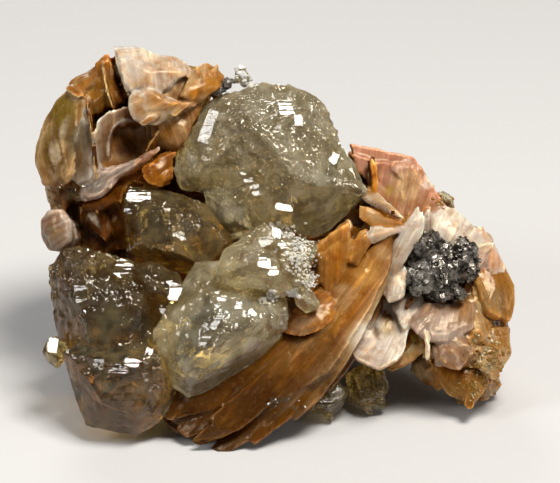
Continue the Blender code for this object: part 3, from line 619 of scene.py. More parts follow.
# Flat facets that catch the key light, on the display face: centre, half width and height, turn
BRIGHT_FACETS = {
    "cerussite_upper": [
        (-12.2, 19.6, 1.0, 2.9, -20.0), (1.0, 22.8, 1.2, 1.3, 10.0), (3.2, 20.6, 0.7, 1.0, 0.0),
        (9.4, 14.0, 0.8, 1.0, -25.0), (0.7, 5.8, 1.5, 0.6, -6.0), (-6.2, 11.6, 0.5, 0.25, 0.0),
        (-5.4, 10.4, 0.8, 0.3, 0.0), (-4.4, 9.3, 0.9, 0.35, 0.0), (-4.0, 8.2, 0.8, 0.35, 0.0)],
    "cerussite_middle": [(-24.0, 7.6, 2.0, 1.5, -12.0), (-25.7, 5.2, 1.0, 0.4, -5.0)],
    "cerussite_lower": [
        (-26.8, -4.6, 1.2, 1.6, -35.0), (-33.8, -8.6, 1.2, 1.6, 5.0), (-18.3, -8.4, 1.5, 1.6, -28.0),
        (-20.2, -11.2, 1.4, 0.8, -28.0), (-38.6, -17.6, 0.9, 1.3, -10.0),
        (-30.8, -20.6, 0.9, 1.1, -8.0), (-27.6, -21.8, 1.9, 0.9, 6.0), (-25.2, -20.6, 1.2, 0.7, -10.0),
        (-22.2, -18.6, 0.6, 0.6, -20.0)],
    "cerussite_front": [
        (-12.6, -16.4, 0.7, 1.4, -35.0), (-10.8, -13.6, 0.6, 1.4, -30.0), (-7.0, -10.8, 0.5, 0.7, -20.0)],
    "cerussite_centre": [
        (-2.4, 0.2, 1.2, 0.9, 20.0), (-0.6, 1.4, 0.8, 0.9, -10.0), (-2.6, -3.6, 1.1, 0.9, -8.0),
        (-1.2, -5.0, 0.9, 0.8, 15.0), (0.4, -0.6, 0.6, 0.6, 30.0)],
}
FACET_CORNERS = (
    (-1.0, -0.7), (-0.8, -1.0), (0.9, -1.0), (1.0, -0.6), (0.85, 1.0), (-0.9, 1.0), (-1.0, 0.8))
FACET_RISE = 0.35
FACET_DEPTH = 0.8
FACET_MARGIN = 0.1  # how far past its edge a bright facet flattens the crystal
FACET_GRASP = 0.4  # and from what height
BRIGHT_SMOOTH = -0.6  # the roughness that marks a bright facet
STRIPED_AREA = 1.2  # larger facets that aren't too tall are striped
FAINT_STRIPE = 0.3

# Etching: the pitch, the depth and the noise's seed
SWELL_SEED = 11
WORN_CORNER = (2.4, 0.45, 17)
PYRAMIDS = (1.9, 0.26, 23)
FINE_PYRAMIDS = (0.9, 0.36, 29)
GROWTH_STEPS = (1.6, 0.10, 31)
FULL_SIZE = 14.0  # crystals smaller than this are etched less deeply
OWN_TURN = 0.5  # how the pyramids are set, unless the crystal says otherwise


def facet_prism(tree, form):
    """A small block whose top mirrors a light, where the camera sees (u, v) on the crystal.

    Gives its corners, its triangles, its top's middle and normal, and the two ways along the top.
    """
    cu, cv, half_u, half_v, turn = form
    middle, surface = looked_at(tree, cu, cv)
    if middle is None:
        return None
    normals = [unit(unit(way) + OUT_OF_FACE) for way in (KEY_DIRECTION, SIDE_DIRECTION)]
    normal = max(normals, key=lambda n: n.dot(surface))
    a = math.radians(turn)
    across = np.array((math.cos(a), math.sin(a), 0.0))
    across = unit(across - normal * across.dot(normal))
    up = np.cross(normal, across)
    middle = np.array(middle) + OUT_OF_FACE * FACET_RISE
    top = np.array([middle + across * half_u * x + up * half_v * y for x, y in FACET_CORNERS])
    under = middle + (top - middle) * 0.9 - normal * (FACET_DEPTH + 0.8 * max(half_u, half_v))
    count = len(top)
    faces = [(0, i, i + 1) for i in range(1, count - 1)]
    faces += [(count, count + i + 1, count + i) for i in range(1, count - 1)]
    for i in range(count):
        j = (i + 1) % count
        faces += [(i, count + i, count + j), (i, count + j, j)]
    return np.vstack([top, under]), np.array(faces), middle, normal, across, up


def flatten_facets(prisms, points, rough):
    """Lays the points near the top of each bright facet on its plane, and makes them smooth.

    Gives how striped each point is.
    """
    stripe = np.zeros(len(rough))
    for (_, _, half_u, half_v, _), (_, _, middle, normal, across, up) in prisms:
        offset = points - middle
        height = offset @ normal
        own = np.abs(offset @ across) < half_u + FACET_MARGIN
        own &= np.abs(offset @ up) < half_v + FACET_MARGIN
        own &= np.abs(height) < FACET_GRASP
        points[own] -= np.outer(height[own], normal)
        rough[own] = BRIGHT_SMOOTH
        striped = half_u * half_v > STRIPED_AREA and half_v < 2.0 * half_u
        stripe[own] = 1.0 if striped else FAINT_STRIPE
    return stripe


def etching(points, rough, size, corner, turn):
    """How deeply each point of a crystal of this size is etched, by how rough it is there."""
    large = min(1.0, size / FULL_SIZE)
    depth = 0.12 * large * noise(points, 0.32 * size**0.75, SWELL_SEED)
    pitch, most, seed = WORN_CORNER
    depth += most * large * corner * (0.5 + 0.5 * rough_noise(points, pitch, 3, seed))
    pitch, most, seed = PYRAMIDS
    depth += (0.03 + most * rough) * (hillocks(points, pitch, seed, turn) - 0.7) * large
    pitch, most, seed = FINE_PYRAMIDS
    depth += most * rough**2 * (hillocks(points, pitch, seed, turn) - 0.3)
    pitch, most, seed = GROWTH_STEPS
    steps = np.floor(2.0 * (1.0 + noise(points * (0.4, 1.0, 0.4), pitch, seed))) - 1.0
    depth += most * rough * steps
    return np.where(rough < 0.0, 0.0, depth)


def crystal(name, material):
    """Etches small pyramids, growth steps and flat bright faces into a fine copy of a CAD crystal."""
    look = CRYSTALS[name]
    points, triangles = node_mesh(name)
    tree = tree_of(points, triangles)
    prisms = [(form, facet_prism(tree, form)) for form in BRIGHT_FACETS.get(name, [])]
    prisms = [(form, made) for form, made in prisms if made]
    for _, (corners, sides, *_) in prisms:
        triangles = np.vstack([triangles, sides + len(points)])
        points = np.vstack([points, corners])
    tree = tree_of(points, triangles)
    fine, normals, faces = remeshed(points, triangles, look["voxel"])
    flat = np.array([tuple(tree.find_nearest(point)[1]) for point in fine.tolist()])
    u, v, _ = fine.T
    rough = np.full(len(fine), look["rough"])
    for *spot, radius, amount in look.get("spots", []):
        rough += (amount - rough) * inside(u, v, spot, *(share * radius for share in SPOT_EDGE))
    rough = np.clip(rough + 0.35 * noise(fine, 2.6, 5), 0.0, 1.0)
    stripe = flatten_facets(prisms, fine, rough)
    size = np.ptp(fine, axis=0).max()
    corner = ramp(1.0 - (unit(normals) * flat).sum(axis=1), 0.02, 0.20)
    fine = cut_back(fine, normals, etching(fine, rough, size, corner, look.get("turn", OWN_TURN)))
    for *spot, radius, rise in look.get("raised", []):
        near = inside(u, v, spot, *(share * radius for share in RAISED_EDGE))
        fine = fine + OUT_OF_FACE * (rise * near)[:, None]
    obj = mesh_object(name + "_etched", fine, faces, {"rough": rough, "stripe": stripe}, 24.0)
    show(obj, material, [name])


# Barite colours, as the mesh carries them

WHITE = np.array((0.475, 0.425, 0.355))
CREAM = np.array((0.36, 0.245, 0.12))
GREY = np.array((0.155, 0.112, 0.055))
LILAC = np.array((0.28, 0.220, 0.18))
HONEY = np.array((0.22, 0.097, 0.014))
ORANGE = np.array((0.32, 0.125, 0.008))
YELLOW = np.array((0.17, 0.108, 0.008))
AMBER = np.array((0.40, 0.215, 0.055))
BROWN = np.array((0.040, 0.012, 0.001))
PINK = np.array((0.40, 0.20, 0.125))
STAIN = np.array((0.17, 0.054, 0.003))


def blend(a, b, share):
    """Colour a, with this share of colour b."""
    share = np.clip(share, 0.0, 1.0)[:, None]
    return a * (1.0 - share) + b * share


# Barite blades and plates

FIBRE_SOURCE = 2.6  # how much further off than its root a blade's fibres meet
FIBRE_PITCH, FINE_FIBRE_PITCH, PATCH_PITCH = 1.3, 0.45, 3.0
FIBRE_RELIEF = 0.03
WARP_PITCH, WARP = 5.0, 0.10
RIM_THINNESS = 0.45  # a blade's thickness at its very rim, as a share
CORNER_KEPT, CORNER_CUT = 0.93, 0.07
FEWEST_POINTS = 14  # round an outline
RAGGED_PITCH = 2.6
NOTCH_PITCH, NOTCH_DEPTH, NOTCH_LEVELS = 1.6, 1.1, 3.0
RIM_STEPS = (  # how far in from the rim, how uneven, its pitch and seed, half its width, its drop
    (0.7, 0.45, 2.6, 11, 0.12, 0.07),
    (2.4, 1.4, 4.2, 13, 0.15, 0.10),
)
MARGIN_RINGS = (0.5, 0.75, 0.88, 0.95, 1.0)  # of a plate that lies under others
UNDER_RINGS = (0.45, 0.85, 1.0)
PAGE_BACK, PAGE_SWAY = 0.10, 0.22  # how far the pages in a blade's edge lie back


def rounded(loop):
    """A closed outline with its corners cut."""
    after = np.roll(loop, -1, axis=0)
    first = CORNER_KEPT * loop + CORNER_CUT * after
    second = CORNER_CUT * loop + CORNER_KEPT * after
    return np.stack([first, second], axis=1).reshape(-1, 3)


def resampled(loop, spacing):
    """Points evenly spaced along a closed outline."""
    closed = np.vstack([loop, loop[:1]])
    along = np.concatenate([[0.0], np.cumsum(np.linalg.norm(np.diff(closed, axis=0), axis=1))])
    count = max(FEWEST_POINTS, int(along[-1] / spacing))
    at = np.linspace(0.0, along[-1], count, endpoint=False)
    return np.column_stack([np.interp(at, along, closed[:, k]) for k in range(3)])


def disc_faces(count, rings):
    """Faces of a disc whose first point is its middle, followed by rings of count points."""
    faces = [(0, 1 + i, 1 + (i + 1) % count) for i in range(count)]
    for ring in range(rings - 1):
        a = 1 + ring * count
        b = a + count
        faces += [(a + i, b + i, b + (i + 1) % count, a + (i + 1) % count) for i in range(count)]
    return faces


def band_faces(count, loops):
    """Faces of a closed band made of loops of count points."""
    faces = []
    for k in range(loops - 1):
        a, b = k * count, (k + 1) * count
        faces += [(a + (i + 1) % count, b + (i + 1) % count, b + i, a + i) for i in range(count)]
    return faces


def turned_over(faces):
    return [face[::-1] for face in faces]


class Parts:
    """Meshes that are gathered into one piece, each point with its colour and its grain."""

    def __init__(self):
        self.points, self.faces, self.tones, self.grains, self.count = [], [], [], [], 0

    def add(self, points, faces, tone=None, grain=None):
        plain = np.zeros((len(points), 3))
        self.points.append(points)
        self.tones.append(plain if tone is None else tone)
        self.grains.append(plain if grain is None else grain)
        self.faces += [tuple(i + self.count for i in face) for face in faces]
        self.count += len(points)

    def stacked(self):
        return np.vstack(self.points), self.faces, np.vstack(self.tones), np.vstack(self.grains)


def blade_colours(tones, stain, t, margin, away, far, reach, broad, fine, patch):
    """A blade's colours: darker and stained at its root, streaked along its fibres, pale at its rim.

    t is the share of the way from its middle to its rim, margin how far in from the rim, and away
    how far from the root; far is how far the middle is from the root, and reach how far the rim is
    from the middle. broad, fine and patch are noise.
    """
    deep = np.clip(1.2 - away / (1.25 * far), 0.0, 1.0)
    streak = 0.6 * broad + 0.4 * fine
    tone = blend(np.tile(tones[1], (len(t), 1)), tones[0], 1.1 * deep + 0.30 * streak)
    tone = blend(tone, STAIN, stain * ramp(0.5 * streak + patch + 0.6 * deep, 0.0, 0.65))
    tone = blend(tone, BROWN, 0.6 * stain * ramp(0.4 * fine + patch, 0.45, 1.0))
    tone = tone * (1.0 + 0.22 * patch + 0.14 * streak)[:, None]
    # Partly painted glow: the rim turns to its pale rim colour, partly its own colour and partly light
    # shining through the thin edge
    width = min(1.0, 0.25 * reach) * (0.5 + 0.35 * (1.0 + patch))
    edge = 0.40 * np.exp(-margin / (0.30 * reach)) + 0.25 * np.exp(-margin / width)
    edge = edge + 0.4 * np.exp(-margin / (0.3 * width)) - 0.25 * streak
    tone = blend(tone, tones[2], edge * ramp(away / far, 0.15, 0.8))
    return blend(tone, BROWN, 0.7 * stain * ramp(-away / far, -0.55, -0.1))


def blade(parts, rim, normal, thickness, dome, root, tones, stain, seed, full=True, ragged=0.3):
    """A thin plate inside a rim, with a crisp edge and fibres that run from its root.

    tones are the colours near the root, over the plate and at the rim. full gives the top side
    all its rings; without it only the margin is fine, for plates that lie under others.
    """
    n = unit(normal)
    loop = resampled(rounded(rim), PLATE_SPACING)
    centre = loop.mean(axis=0)
    swept = np.cross(loop - centre, np.roll(loop, -1, axis=0) - centre).sum(axis=0)
    if swept.dot(n) < 0.0:
        loop = loop[::-1]
    inward = unit(centre - loop)
    notch = np.floor(NOTCH_LEVELS * (0.5 + 0.5 * noise(loop, NOTCH_PITCH, seed + 3))) / NOTCH_LEVELS
    cut = ragged * (0.5 + 0.5 * rough_noise(loop, RAGGED_PITCH, 3, seed)) + NOTCH_DEPTH * ragged * notch
    loop = loop + inward * cut[:, None]
    reach = np.linalg.norm(loop - centre, axis=1)
    count = len(loop)
    if full:
        steps = max(4, int(reach.mean() / (1.25 * PLATE_SPACING)))
        rings = 1.0 - (1.0 - np.linspace(0.0, 1.0, steps + 1)[1:]) ** 1.1
    else:
        rings = np.array(MARGIN_RINGS)
    bevel = min(0.3, 0.1 / reach.mean())
    rings = np.append(rings[:-1] * (1.0 - 1.5 * bevel), (1.0 - bevel, 1.0))
    lengthwise = unit((centre - root) - n * np.dot(centre - root, n))
    crosswise = np.cross(n, lengthwise)
    far = max(np.linalg.norm(centre - root), 1.0)
    source = centre - lengthwise * FIBRE_SOURCE * far

    def side(rings, sign):
        """One side's points, ring by ring from the middle, with their colours and grain."""
        t = np.concatenate([[0.0], np.repeat(rings, count)])
        flat = centre + np.vstack([np.zeros(3), *[(loop - centre) * ring for ring in rings]])
        margin = (1.0 - t) * np.concatenate([[reach.mean()], np.tile(reach, len(rings))])
        angle = np.arctan2((flat - source) @ crosswise, (flat - source) @ lengthwise)
        away = np.linalg.norm(flat - root, axis=1)
        across = angle * FIBRE_SOURCE * far
        fibres = np.column_stack([across, away * 0.10, np.full(len(t), 0.37 * seed)])
        broad = noise(fibres, FIBRE_PITCH, seed + 7)
        fine = noise(fibres, FINE_FIBRE_PITCH, seed + 9)
        patch = rough_noise(fibres * (0.55, 1.6, 1.0), PATCH_PITCH, 3, seed + 21)
        lift = dome * (1.0 - t * t) + sign * 0.5 * thickness * np.where(t > 0.999, RIM_THINNESS, 1.0)
        if sign > 0.0:
            for back, sway, pitch, own, soft, drop in RIM_STEPS:
                line = back + sway * noise(flat, pitch, seed + own)
                lift = lift - drop * (1.0 - ramp(margin - line, -soft, soft))
            lift = lift + FIBRE_RELIEF * broad + WARP * noise(flat, WARP_PITCH, seed + 19)
        tone = blade_colours(tones, stain, t, margin, away, far, reach.mean(), broad, fine, patch)
        grain = np.column_stack([across + 3.7 * seed, away, margin])
        return flat + n * lift[:, None], tone, grain

    top, top_tone, top_grain = side(rings, 1.0)
    under_rings = np.array(UNDER_RINGS) if full else np.array((0.6, 1.0))
    under, under_tone, under_grain = side(under_rings, -1.0)
    parts.add(top, disc_faces(count, len(rings)), top_tone, top_grain)
    parts.add(under, turned_over(disc_faces(count, len(under_rings))), under_tone, under_grain)
    pages = 4 if thickness > 1.2 else 3
    layers = [top[-count:]]
    for k in range(1, pages):
        page = top[-count:] * (1.0 - k / pages) + under[-count:] * (k / pages)
        back = PAGE_BACK + PAGE_SWAY * noise(page, 1.1, seed + 31 + k)
        layers.append(page + inward * back[:, None])
    layers.append(under[-count:])
    wall_grain = np.tile(top_grain[-count:], (len(layers), 1))
    wall_grain[:, 2] = np.repeat(np.arange(len(layers)) * 0.15, count)
    wall_tone = np.tile(top_tone[-count:], (len(layers), 1))
    parts.add(np.vstack(layers), turned_over(band_faces(count, len(layers))), wall_tone, wall_grain)


# Stacks of plates, their terraces and their petals. Ranges are those of random draws

LAYER_PITCH = 2.9
LAYER_SHRINK = 0.13
LAYER_TURN = math.radians(9.0)
LAYER_JITTER = (0.14, 0.09, 0.14)  # of a layer's place in the stack, its turn and its size
TERRACE_RISE = 0.38
TERRACE_RUN = 0.15  # for each step, as a share of the plate's reach
TERRACE_THICKNESS = 0.7
FINER = 2  # plates shown for each plate of the solid, in a stack
RESTING_SHARE = 60.0  # per cent of the solid below a plate that lies behind the plate's middle
STACK_LEAN, PLATE_LEAN = 0.06, 0.2
PETAL_CORNERS = 7
PETAL_THICKNESS = 0.5
PETAL_PLACE = (0.25, 0.8)  # from the plate's middle to its rim, as a share
PETAL_SWING = (-14.0, 14.0)  # degrees from the way of the fibres
PETAL_LEAN = (5.0, 16.0)  # degrees out of the plate
PETAL_LENGTH = (2.5, 5.0)


def resting_depth(outline, middle, n, dome, support):
    """The depth at which a plate with this outline lies on the solid, as the camera sees it."""
    found = []
    for share in (0.15, 0.45, 0.7, 0.9):
        for u, v in middle + (outline - middle) * share:
            hit = looked_at(support, u, v)[0]
            if hit is not None:
                slope = (n[0] * (u - middle[0]) + n[1] * (v - middle[1])) / n[2]
                found.append(hit[2] + slope - dome * (1.0 - share**2))
    return float(np.percentile(found, RESTING_SHARE))


def stepped_back(rim, n, root, step, seed):
    """The rim of a terrace: the plate's rim, moved back on the side that is far from the root."""
    middle = rim.mean(axis=0)
    away = unit((middle - root) - n * np.dot(middle - root, n))
    size = np.linalg.norm(rim - middle, axis=1).max()
    ahead = ramp((rim - middle) @ away / size, -0.9, 0.7)
    cut = step * TERRACE_RUN * size * (0.5 + 0.5 * (1.0 + noise(rim, 3.1, seed + step)))
    return rim - away * (cut * ahead)[:, None] + (middle - rim) * 0.05 * step


def plates(parts, support, seed, outline, normal, root, tones, stain, raised=0.0, thickness=2.2, dome=0.6,
           layers=1, petals=1, slender=0.4, terraces=1, lean=None):
    """A broad plate by its outline on the face, the thinner ones behind it, and petals on it.

    It rises from the solid away from its root, by the lean, which is less for a stack.
    """
    outline = np.array(outline)
    middle = outline.mean(axis=0)
    homeward = unit(np.array(root) - middle)
    if lean is None:
        lean = PLATE_LEAN if layers == 1 else STACK_LEAN
    n = unit(unit(normal) + lean * np.array((homeward[0], homeward[1], 0.0)))
    depth = resting_depth(outline, middle, n, dome, support) + raised
    shown = 1 if layers == 1 else layers * FINER
    thin = max(0.6, 0.7 * thickness) if shown == 1 else 0.62 * thickness
    start = seen(root[0], root[1], depth - 4.0)
    rng = random.Random(seed + 3)
    for layer in range(shown):
        k = layer / FINER if layers > 1 else 0.0
        a = LAYER_TURN * k
        size = 1.0 - LAYER_SHRINK * k
        if layer > 0:
            place_jitter, turn_jitter, size_jitter = LAYER_JITTER
            k += rng.uniform(-place_jitter, place_jitter)
            a += rng.uniform(-turn_jitter, turn_jitter)
            size -= rng.uniform(0.0, size_jitter)
        turn = np.array(((math.cos(a), -math.sin(a)), (math.sin(a), math.cos(a))))
        off = (outline - middle) @ turn.T * size
        lift = depth - (n[0] * off[:, 0] + n[1] * off[:, 1]) / n[2]
        rim = np.array([seen(u, v, w) for (u, v), w in zip(off + middle, lift)]) - n * LAYER_PITCH * k
        blade(parts, rim + n * 0.5 * (thickness - thin), n, thin, dome, start, tones, stain,
              seed + 101 * layer, full=layer == 0)
        if layer == 0:
            for step in range(1, terraces + 1):
                back = stepped_back(rim, n, start, step, seed)
                lift = 0.5 * thickness + TERRACE_RISE * step - 0.3
                blade(parts, back + n * lift, n, TERRACE_THICKNESS, 0.9 * dome, start, tones, stain,
                      seed + 41 * step, ragged=0.5)
            top = thickness + 2.0 * TERRACE_RISE * terraces
            grow_petals(parts, rim, n, top, dome, start, tones, stain, seed, petals, slender)


def grow_petals(parts, rim, n, thickness, dome, root, tones, stain, seed, count, slender):
    """Small blades that rise out of a plate at a low angle, long in the way of its fibres."""
    rng = random.Random(seed + 7)
    middle = rim.mean(axis=0)
    for k in range(count):
        corner = rim[rng.randrange(len(rim))]
        share = rng.uniform(*PETAL_PLACE)
        spot = middle + (corner - middle) * share
        spot = spot + n * (dome * (1.0 - share**2) + 0.5 * thickness - 0.25)
        size = np.linalg.norm(corner - middle)
        room = size * (1.0 - share)
        long_way = unit((spot - root) - n * np.dot(spot - root, n))
        cross_way = np.cross(n, long_way)
        swing = math.radians(rng.uniform(*PETAL_SWING))
        long_way = long_way * math.cos(swing) + cross_way * math.sin(swing)
        lean = math.radians(rng.choice((-1.0, 1.0)) * rng.uniform(*PETAL_LEAN))
        own = unit(n * math.cos(lean) + cross_way * math.sin(lean))
        cross_way = np.cross(own, long_way)
        length = min(0.9 * size, 1.6 * room + rng.uniform(*PETAL_LENGTH))
        width = length * slender * rng.uniform(0.7, 1.3)
        turn = 2.0 * math.pi * (np.arange(PETAL_CORNERS) + rng.random()) / PETAL_CORNERS
        swell = np.array([rng.uniform(0.75, 1.2) for _ in turn])[:, None]
        reach = np.cos(turn)[:, None] * 0.5 * length, np.sin(turn)[:, None] * 0.5 * width
        outline = spot + (long_way * reach[0] + cross_way * reach[1]) * swell
        body = blend(tones[1][None], tones[rng.randrange(3)], np.array([rng.uniform(0.2, 0.9)]))[0]
        blade(parts, outline, own, PETAL_THICKNESS, 0.0, root, (tones[0], body, tones[2]), stain,
              seed + 211 + 13 * k, ragged=0.15)


def fin(parts, seed, centre, along, normal, length, width, tones, thickness, stain, bend=0.0):
    """A blade that stands up from what it grew on, pointed at both ends."""
    n = unit(normal)
    lengthwise = np.array(along, float)
    lengthwise = unit(lengthwise - n * lengthwise.dot(n))
    across = np.cross(n, lengthwise)
    middle = seen(*centre)
    turn = 2.0 * math.pi * np.arange(10) / 10
    t, side = np.cos(turn)[:, None], np.sin(turn)[:, None]
    rim = middle + lengthwise * t * 0.5 * length + across * side * 0.5 * width + n * bend * (1.0 - t * t)
    start = middle - lengthwise * 0.75 * length - OUT_OF_FACE * 0.3 * width
    blade(parts, rim, n, thickness, 0.0, start, tones, stain, seed)


# Broad plates. root is where on the face a plate's ridges come from; tones are the colours near
# the root, over the plate and at its rim
ROSETTE_PLATES = [
    dict(outline=[(-28.6, 33.7), (-26.2, 33.7), (-23.5, 32.9), (-20.7, 31.9), (-17.3, 31.4),
                  (-15.3, 30.0), (-15.0, 28.6), (-16.8, 27.5), (-18.4, 25.4), (-20.7, 24.2),
                  (-22.8, 24.9), (-24.8, 25.4), (-26.2, 24.9), (-27.2, 26.6), (-28.2, 30.0)],
         normal=(0.1, 0.34, 0.93), root=(-22.1, 15.6), tones=(AMBER, CREAM * 0.4 + WHITE * 0.55, WHITE),
         stain=0.15, thickness=2.0, dome=0.8, layers=3, petals=0, terraces=2),
    dict(outline=[(-26.2, 24.6), (-24.8, 25.6), (-22.8, 25.8), (-20.4, 24.9), (-18.4, 24.4),
                  (-16.0, 23.5), (-13.9, 23.2), (-16.0, 22.0), (-18.4, 20.8), (-21.1, 19.5),
                  (-23.5, 19.5), (-25.2, 20.5), (-26.2, 22.4)],
         normal=(0.05, -0.05, 0.99), root=(-12.8, 27.5), tones=(HONEY, AMBER * 0.7 + CREAM * 0.3, WHITE),
         stain=0.35, thickness=1.8, dome=0.9, petals=2, terraces=2),
    dict(outline=[(-15.3, 29.2), (-12.9, 30.5), (-10.9, 29.5), (-9.2, 28.1), (-10.5, 26.1),
                  (-11.9, 24.4), (-13.6, 23.0), (-16.0, 23.0), (-17.7, 24.4), (-16.7, 26.8)],
         normal=(0.42, 0.22, 0.88), root=(-17.0, 19.8), tones=(ORANGE, HONEY, CREAM), stain=0.8, layers=3,
         petals=3, terraces=2),
    dict(outline=[(-29.6, 21.0), (-26.2, 22.0), (-22.1, 21.0), (-21.1, 17.3), (-22.1, 13.9),
                  (-25.5, 12.5), (-28.9, 13.2), (-30.3, 17.3)],
         normal=(0.15, -0.15, 0.97), root=(-23.8, 8.8), tones=(BROWN, BROWN, STAIN), stain=0.6,
         raised=-1.6, thickness=1.4, dome=-1.8, lean=0.0, petals=3, terraces=0),
    dict(outline=[(-31.8, 14.5), (-32.1, 17.9), (-31.3, 20.7), (-29.4, 22.4), (-26.5, 23.2),
                  (-23.5, 22.7), (-21.4, 21.2), (-23.5, 20.7), (-26.4, 21.2), (-28.4, 20.0),
                  (-29.4, 17.6), (-29.4, 14.5), (-28.7, 11.8), (-30.6, 12.2)],
         normal=(0.55, -0.35, 0.76), root=(-27.2, 7.7), tones=(BROWN, CREAM, WHITE), stain=0.3,
         raised=1.2, thickness=0.8, dome=-0.6, lean=0.0, petals=0, terraces=0),
    dict(outline=[(-31.6, 30.5), (-29.2, 32.6), (-28.1, 29.8), (-27.2, 26.4), (-25.8, 23.7),
                  (-27.5, 21.7), (-30.3, 22.7), (-31.5, 26.4)],
         normal=(-0.2, 0.1, 0.97), root=(-28.6, 17.3), tones=(BROWN, ORANGE, HONEY), stain=0.6,
         raised=-0.6, thickness=1.2, dome=0.3, petals=2, terraces=2),
    dict(outline=[(-37.7, 15.6), (-37.1, 18.1), (-35.7, 20.7), (-33.3, 23.4), (-32.3, 22.0),
                  (-31.6, 18.6), (-31.1, 14.7), (-30.8, 11.8), (-32.0, 9.8), (-34.0, 9.1), (-36.0, 10.5),
                  (-37.4, 12.8)],
         normal=(-0.3, 0.1, 0.95), root=(-30.9, 4.5), tones=(HONEY * 0.5, GREY * 0.6, WHITE * 0.8),
         stain=0.25, thickness=1.4, layers=2, petals=0),
    dict(outline=[(-41.4, 13.0), (-41.2, 16.5), (-39.8, 20.6), (-37.6, 24.2), (-34.8, 26.8),
                  (-32.0, 26.0), (-33.0, 18.0), (-34.6, 11.0), (-37.4, 7.8), (-40.2, 9.2)],
         normal=(-0.42, 0.25, 0.87), root=(-32.0, 6.0), tones=(HONEY * 0.5, YELLOW * 0.7, CREAM * 1.2),
         stain=0.4, thickness=2.6, layers=3, petals=0),
    dict(outline=[(-38.2, 15.2), (-37.7, 19.0), (-36.0, 22.0), (-33.3, 23.9), (-32.3, 23.0),
                  (-34.3, 21.3), (-36.2, 18.6), (-36.9, 15.2)],
         normal=(-0.2, 0.2, 0.96), root=(-33.3, 8.8), tones=(GREY, CREAM, WHITE), stain=0.1, raised=0.9,
         thickness=0.8, dome=0.0, lean=0.05, petals=0, terraces=0),
    dict(outline=[(-36.4, 25.4), (-35.7, 26.8), (-34.3, 28.0), (-32.6, 28.8), (-30.9, 29.8),
                  (-29.2, 31.5), (-28.4, 30.9), (-28.9, 28.1), (-30.6, 26.4), (-33.0, 24.7),
                  (-35.0, 23.4)],
         normal=(-0.2, 0.45, 0.87), root=(-28.6, 20.7), tones=(HONEY, HONEY, CREAM), stain=0.6, layers=3,
         terraces=2),
    dict(outline=[(-33.3, 24.7), (-32.0, 26.6), (-30.3, 27.5), (-28.7, 27.8), (-28.4, 24.7),
                  (-29.1, 22.0), (-30.9, 20.5), (-32.3, 20.8), (-33.0, 22.9)],
         normal=(-0.3, 0.2, 0.93), root=(-29.9, 15.6), tones=(BROWN, HONEY, YELLOW), stain=0.7,
         thickness=1.0, petals=2, terraces=2),
    dict(outline=[(-34.7, 8.2), (-33.3, 10.5), (-31.8, 12.2), (-29.8, 12.8), (-27.5, 13.2),
                  (-24.3, 14.2), (-22.1, 15.4), (-20.2, 16.4), (-19.7, 15.9), (-22.1, 13.9),
                  (-24.3, 12.5), (-27.2, 10.5), (-29.2, 8.2), (-30.6, 7.1), (-32.6, 6.4), (-34.3, 6.7)],
         normal=(-0.25, 0.42, 0.87), root=(-37.4, 2.8), tones=(LILAC * 0.45, LILAC * 0.65, LILAC * 1.5),
         stain=0.0, raised=1.0, thickness=0.9, dome=-0.4, petals=4, slender=0.16, terraces=2),
    dict(outline=[(-24.1, 12.2), (-22.1, 13.9), (-20.1, 15.2), (-18.4, 15.6), (-18.0, 12.5),
                  (-18.4, 9.4), (-20.4, 8.8), (-22.8, 9.4)],
         normal=(0.2, 0.3, 0.93), root=(-15.3, 15.6), tones=(BROWN, STAIN, ORANGE), stain=0.7,
         thickness=1.0, petals=3, terraces=2),
    dict(outline=[(-34.7, 6.4), (-31.3, 7.7), (-27.2, 8.8), (-24.5, 6.7), (-24.8, 2.3), (-25.8, -1.4),
                  (-29.9, -2.5), (-34.0, -1.4)],
         normal=(0.1, 0.2, 0.97), root=(-29.9, -8.2), tones=(BROWN, STAIN, STAIN), stain=0.6, raised=-1.0,
         thickness=1.6, dome=-0.6, petals=3),
    dict(outline=[(-33.7, 6.0), (-31.3, 7.1), (-28.9, 5.0), (-27.9, 1.6), (-29.2, -0.8), (-31.6, 1.3),
                  (-33.3, 3.7)],
         normal=(-0.35, 0.3, 0.88), root=(-28.6, -3.5), tones=(BROWN, ORANGE, CREAM), stain=0.5,
         raised=0.4, thickness=0.9, dome=0.3),
    dict(outline=[(-28.6, 7.7), (-25.8, 8.8), (-24.1, 6.7), (-24.8, 3.3), (-26.5, 0.9), (-27.9, 4.0)],
         normal=(0.35, 0.2, 0.9), root=(-27.2, -2.8), tones=(BROWN, HONEY, ORANGE), stain=0.6, raised=0.4,
         thickness=0.9, dome=0.3),
    dict(outline=[(-30.9, 2.6), (-29.9, 4.7), (-28.2, 5.4), (-26.5, 4.3), (-25.8, 2.0), (-27.2, 0.3),
                  (-29.6, 0.6)],
         normal=(0.2, 0.4, 0.9), root=(-25.5, 8.8), tones=(ORANGE, YELLOW, ORANGE), stain=0.4,
         thickness=0.8, petals=2, terraces=2),
    dict(outline=[(-40.6, 1.0), (-40.4, 4.0), (-39.0, 5.6), (-36.6, 5.8), (-35.0, 3.6), (-35.0, -0.2),
                  (-36.6, -2.2), (-39.0, -1.9)],
         normal=(-0.45, 0.1, 0.88), root=(-34.0, 2.0), tones=(HONEY, LILAC, WHITE), stain=0.3,
         thickness=2.8, dome=0.3, layers=2, petals=0),
]
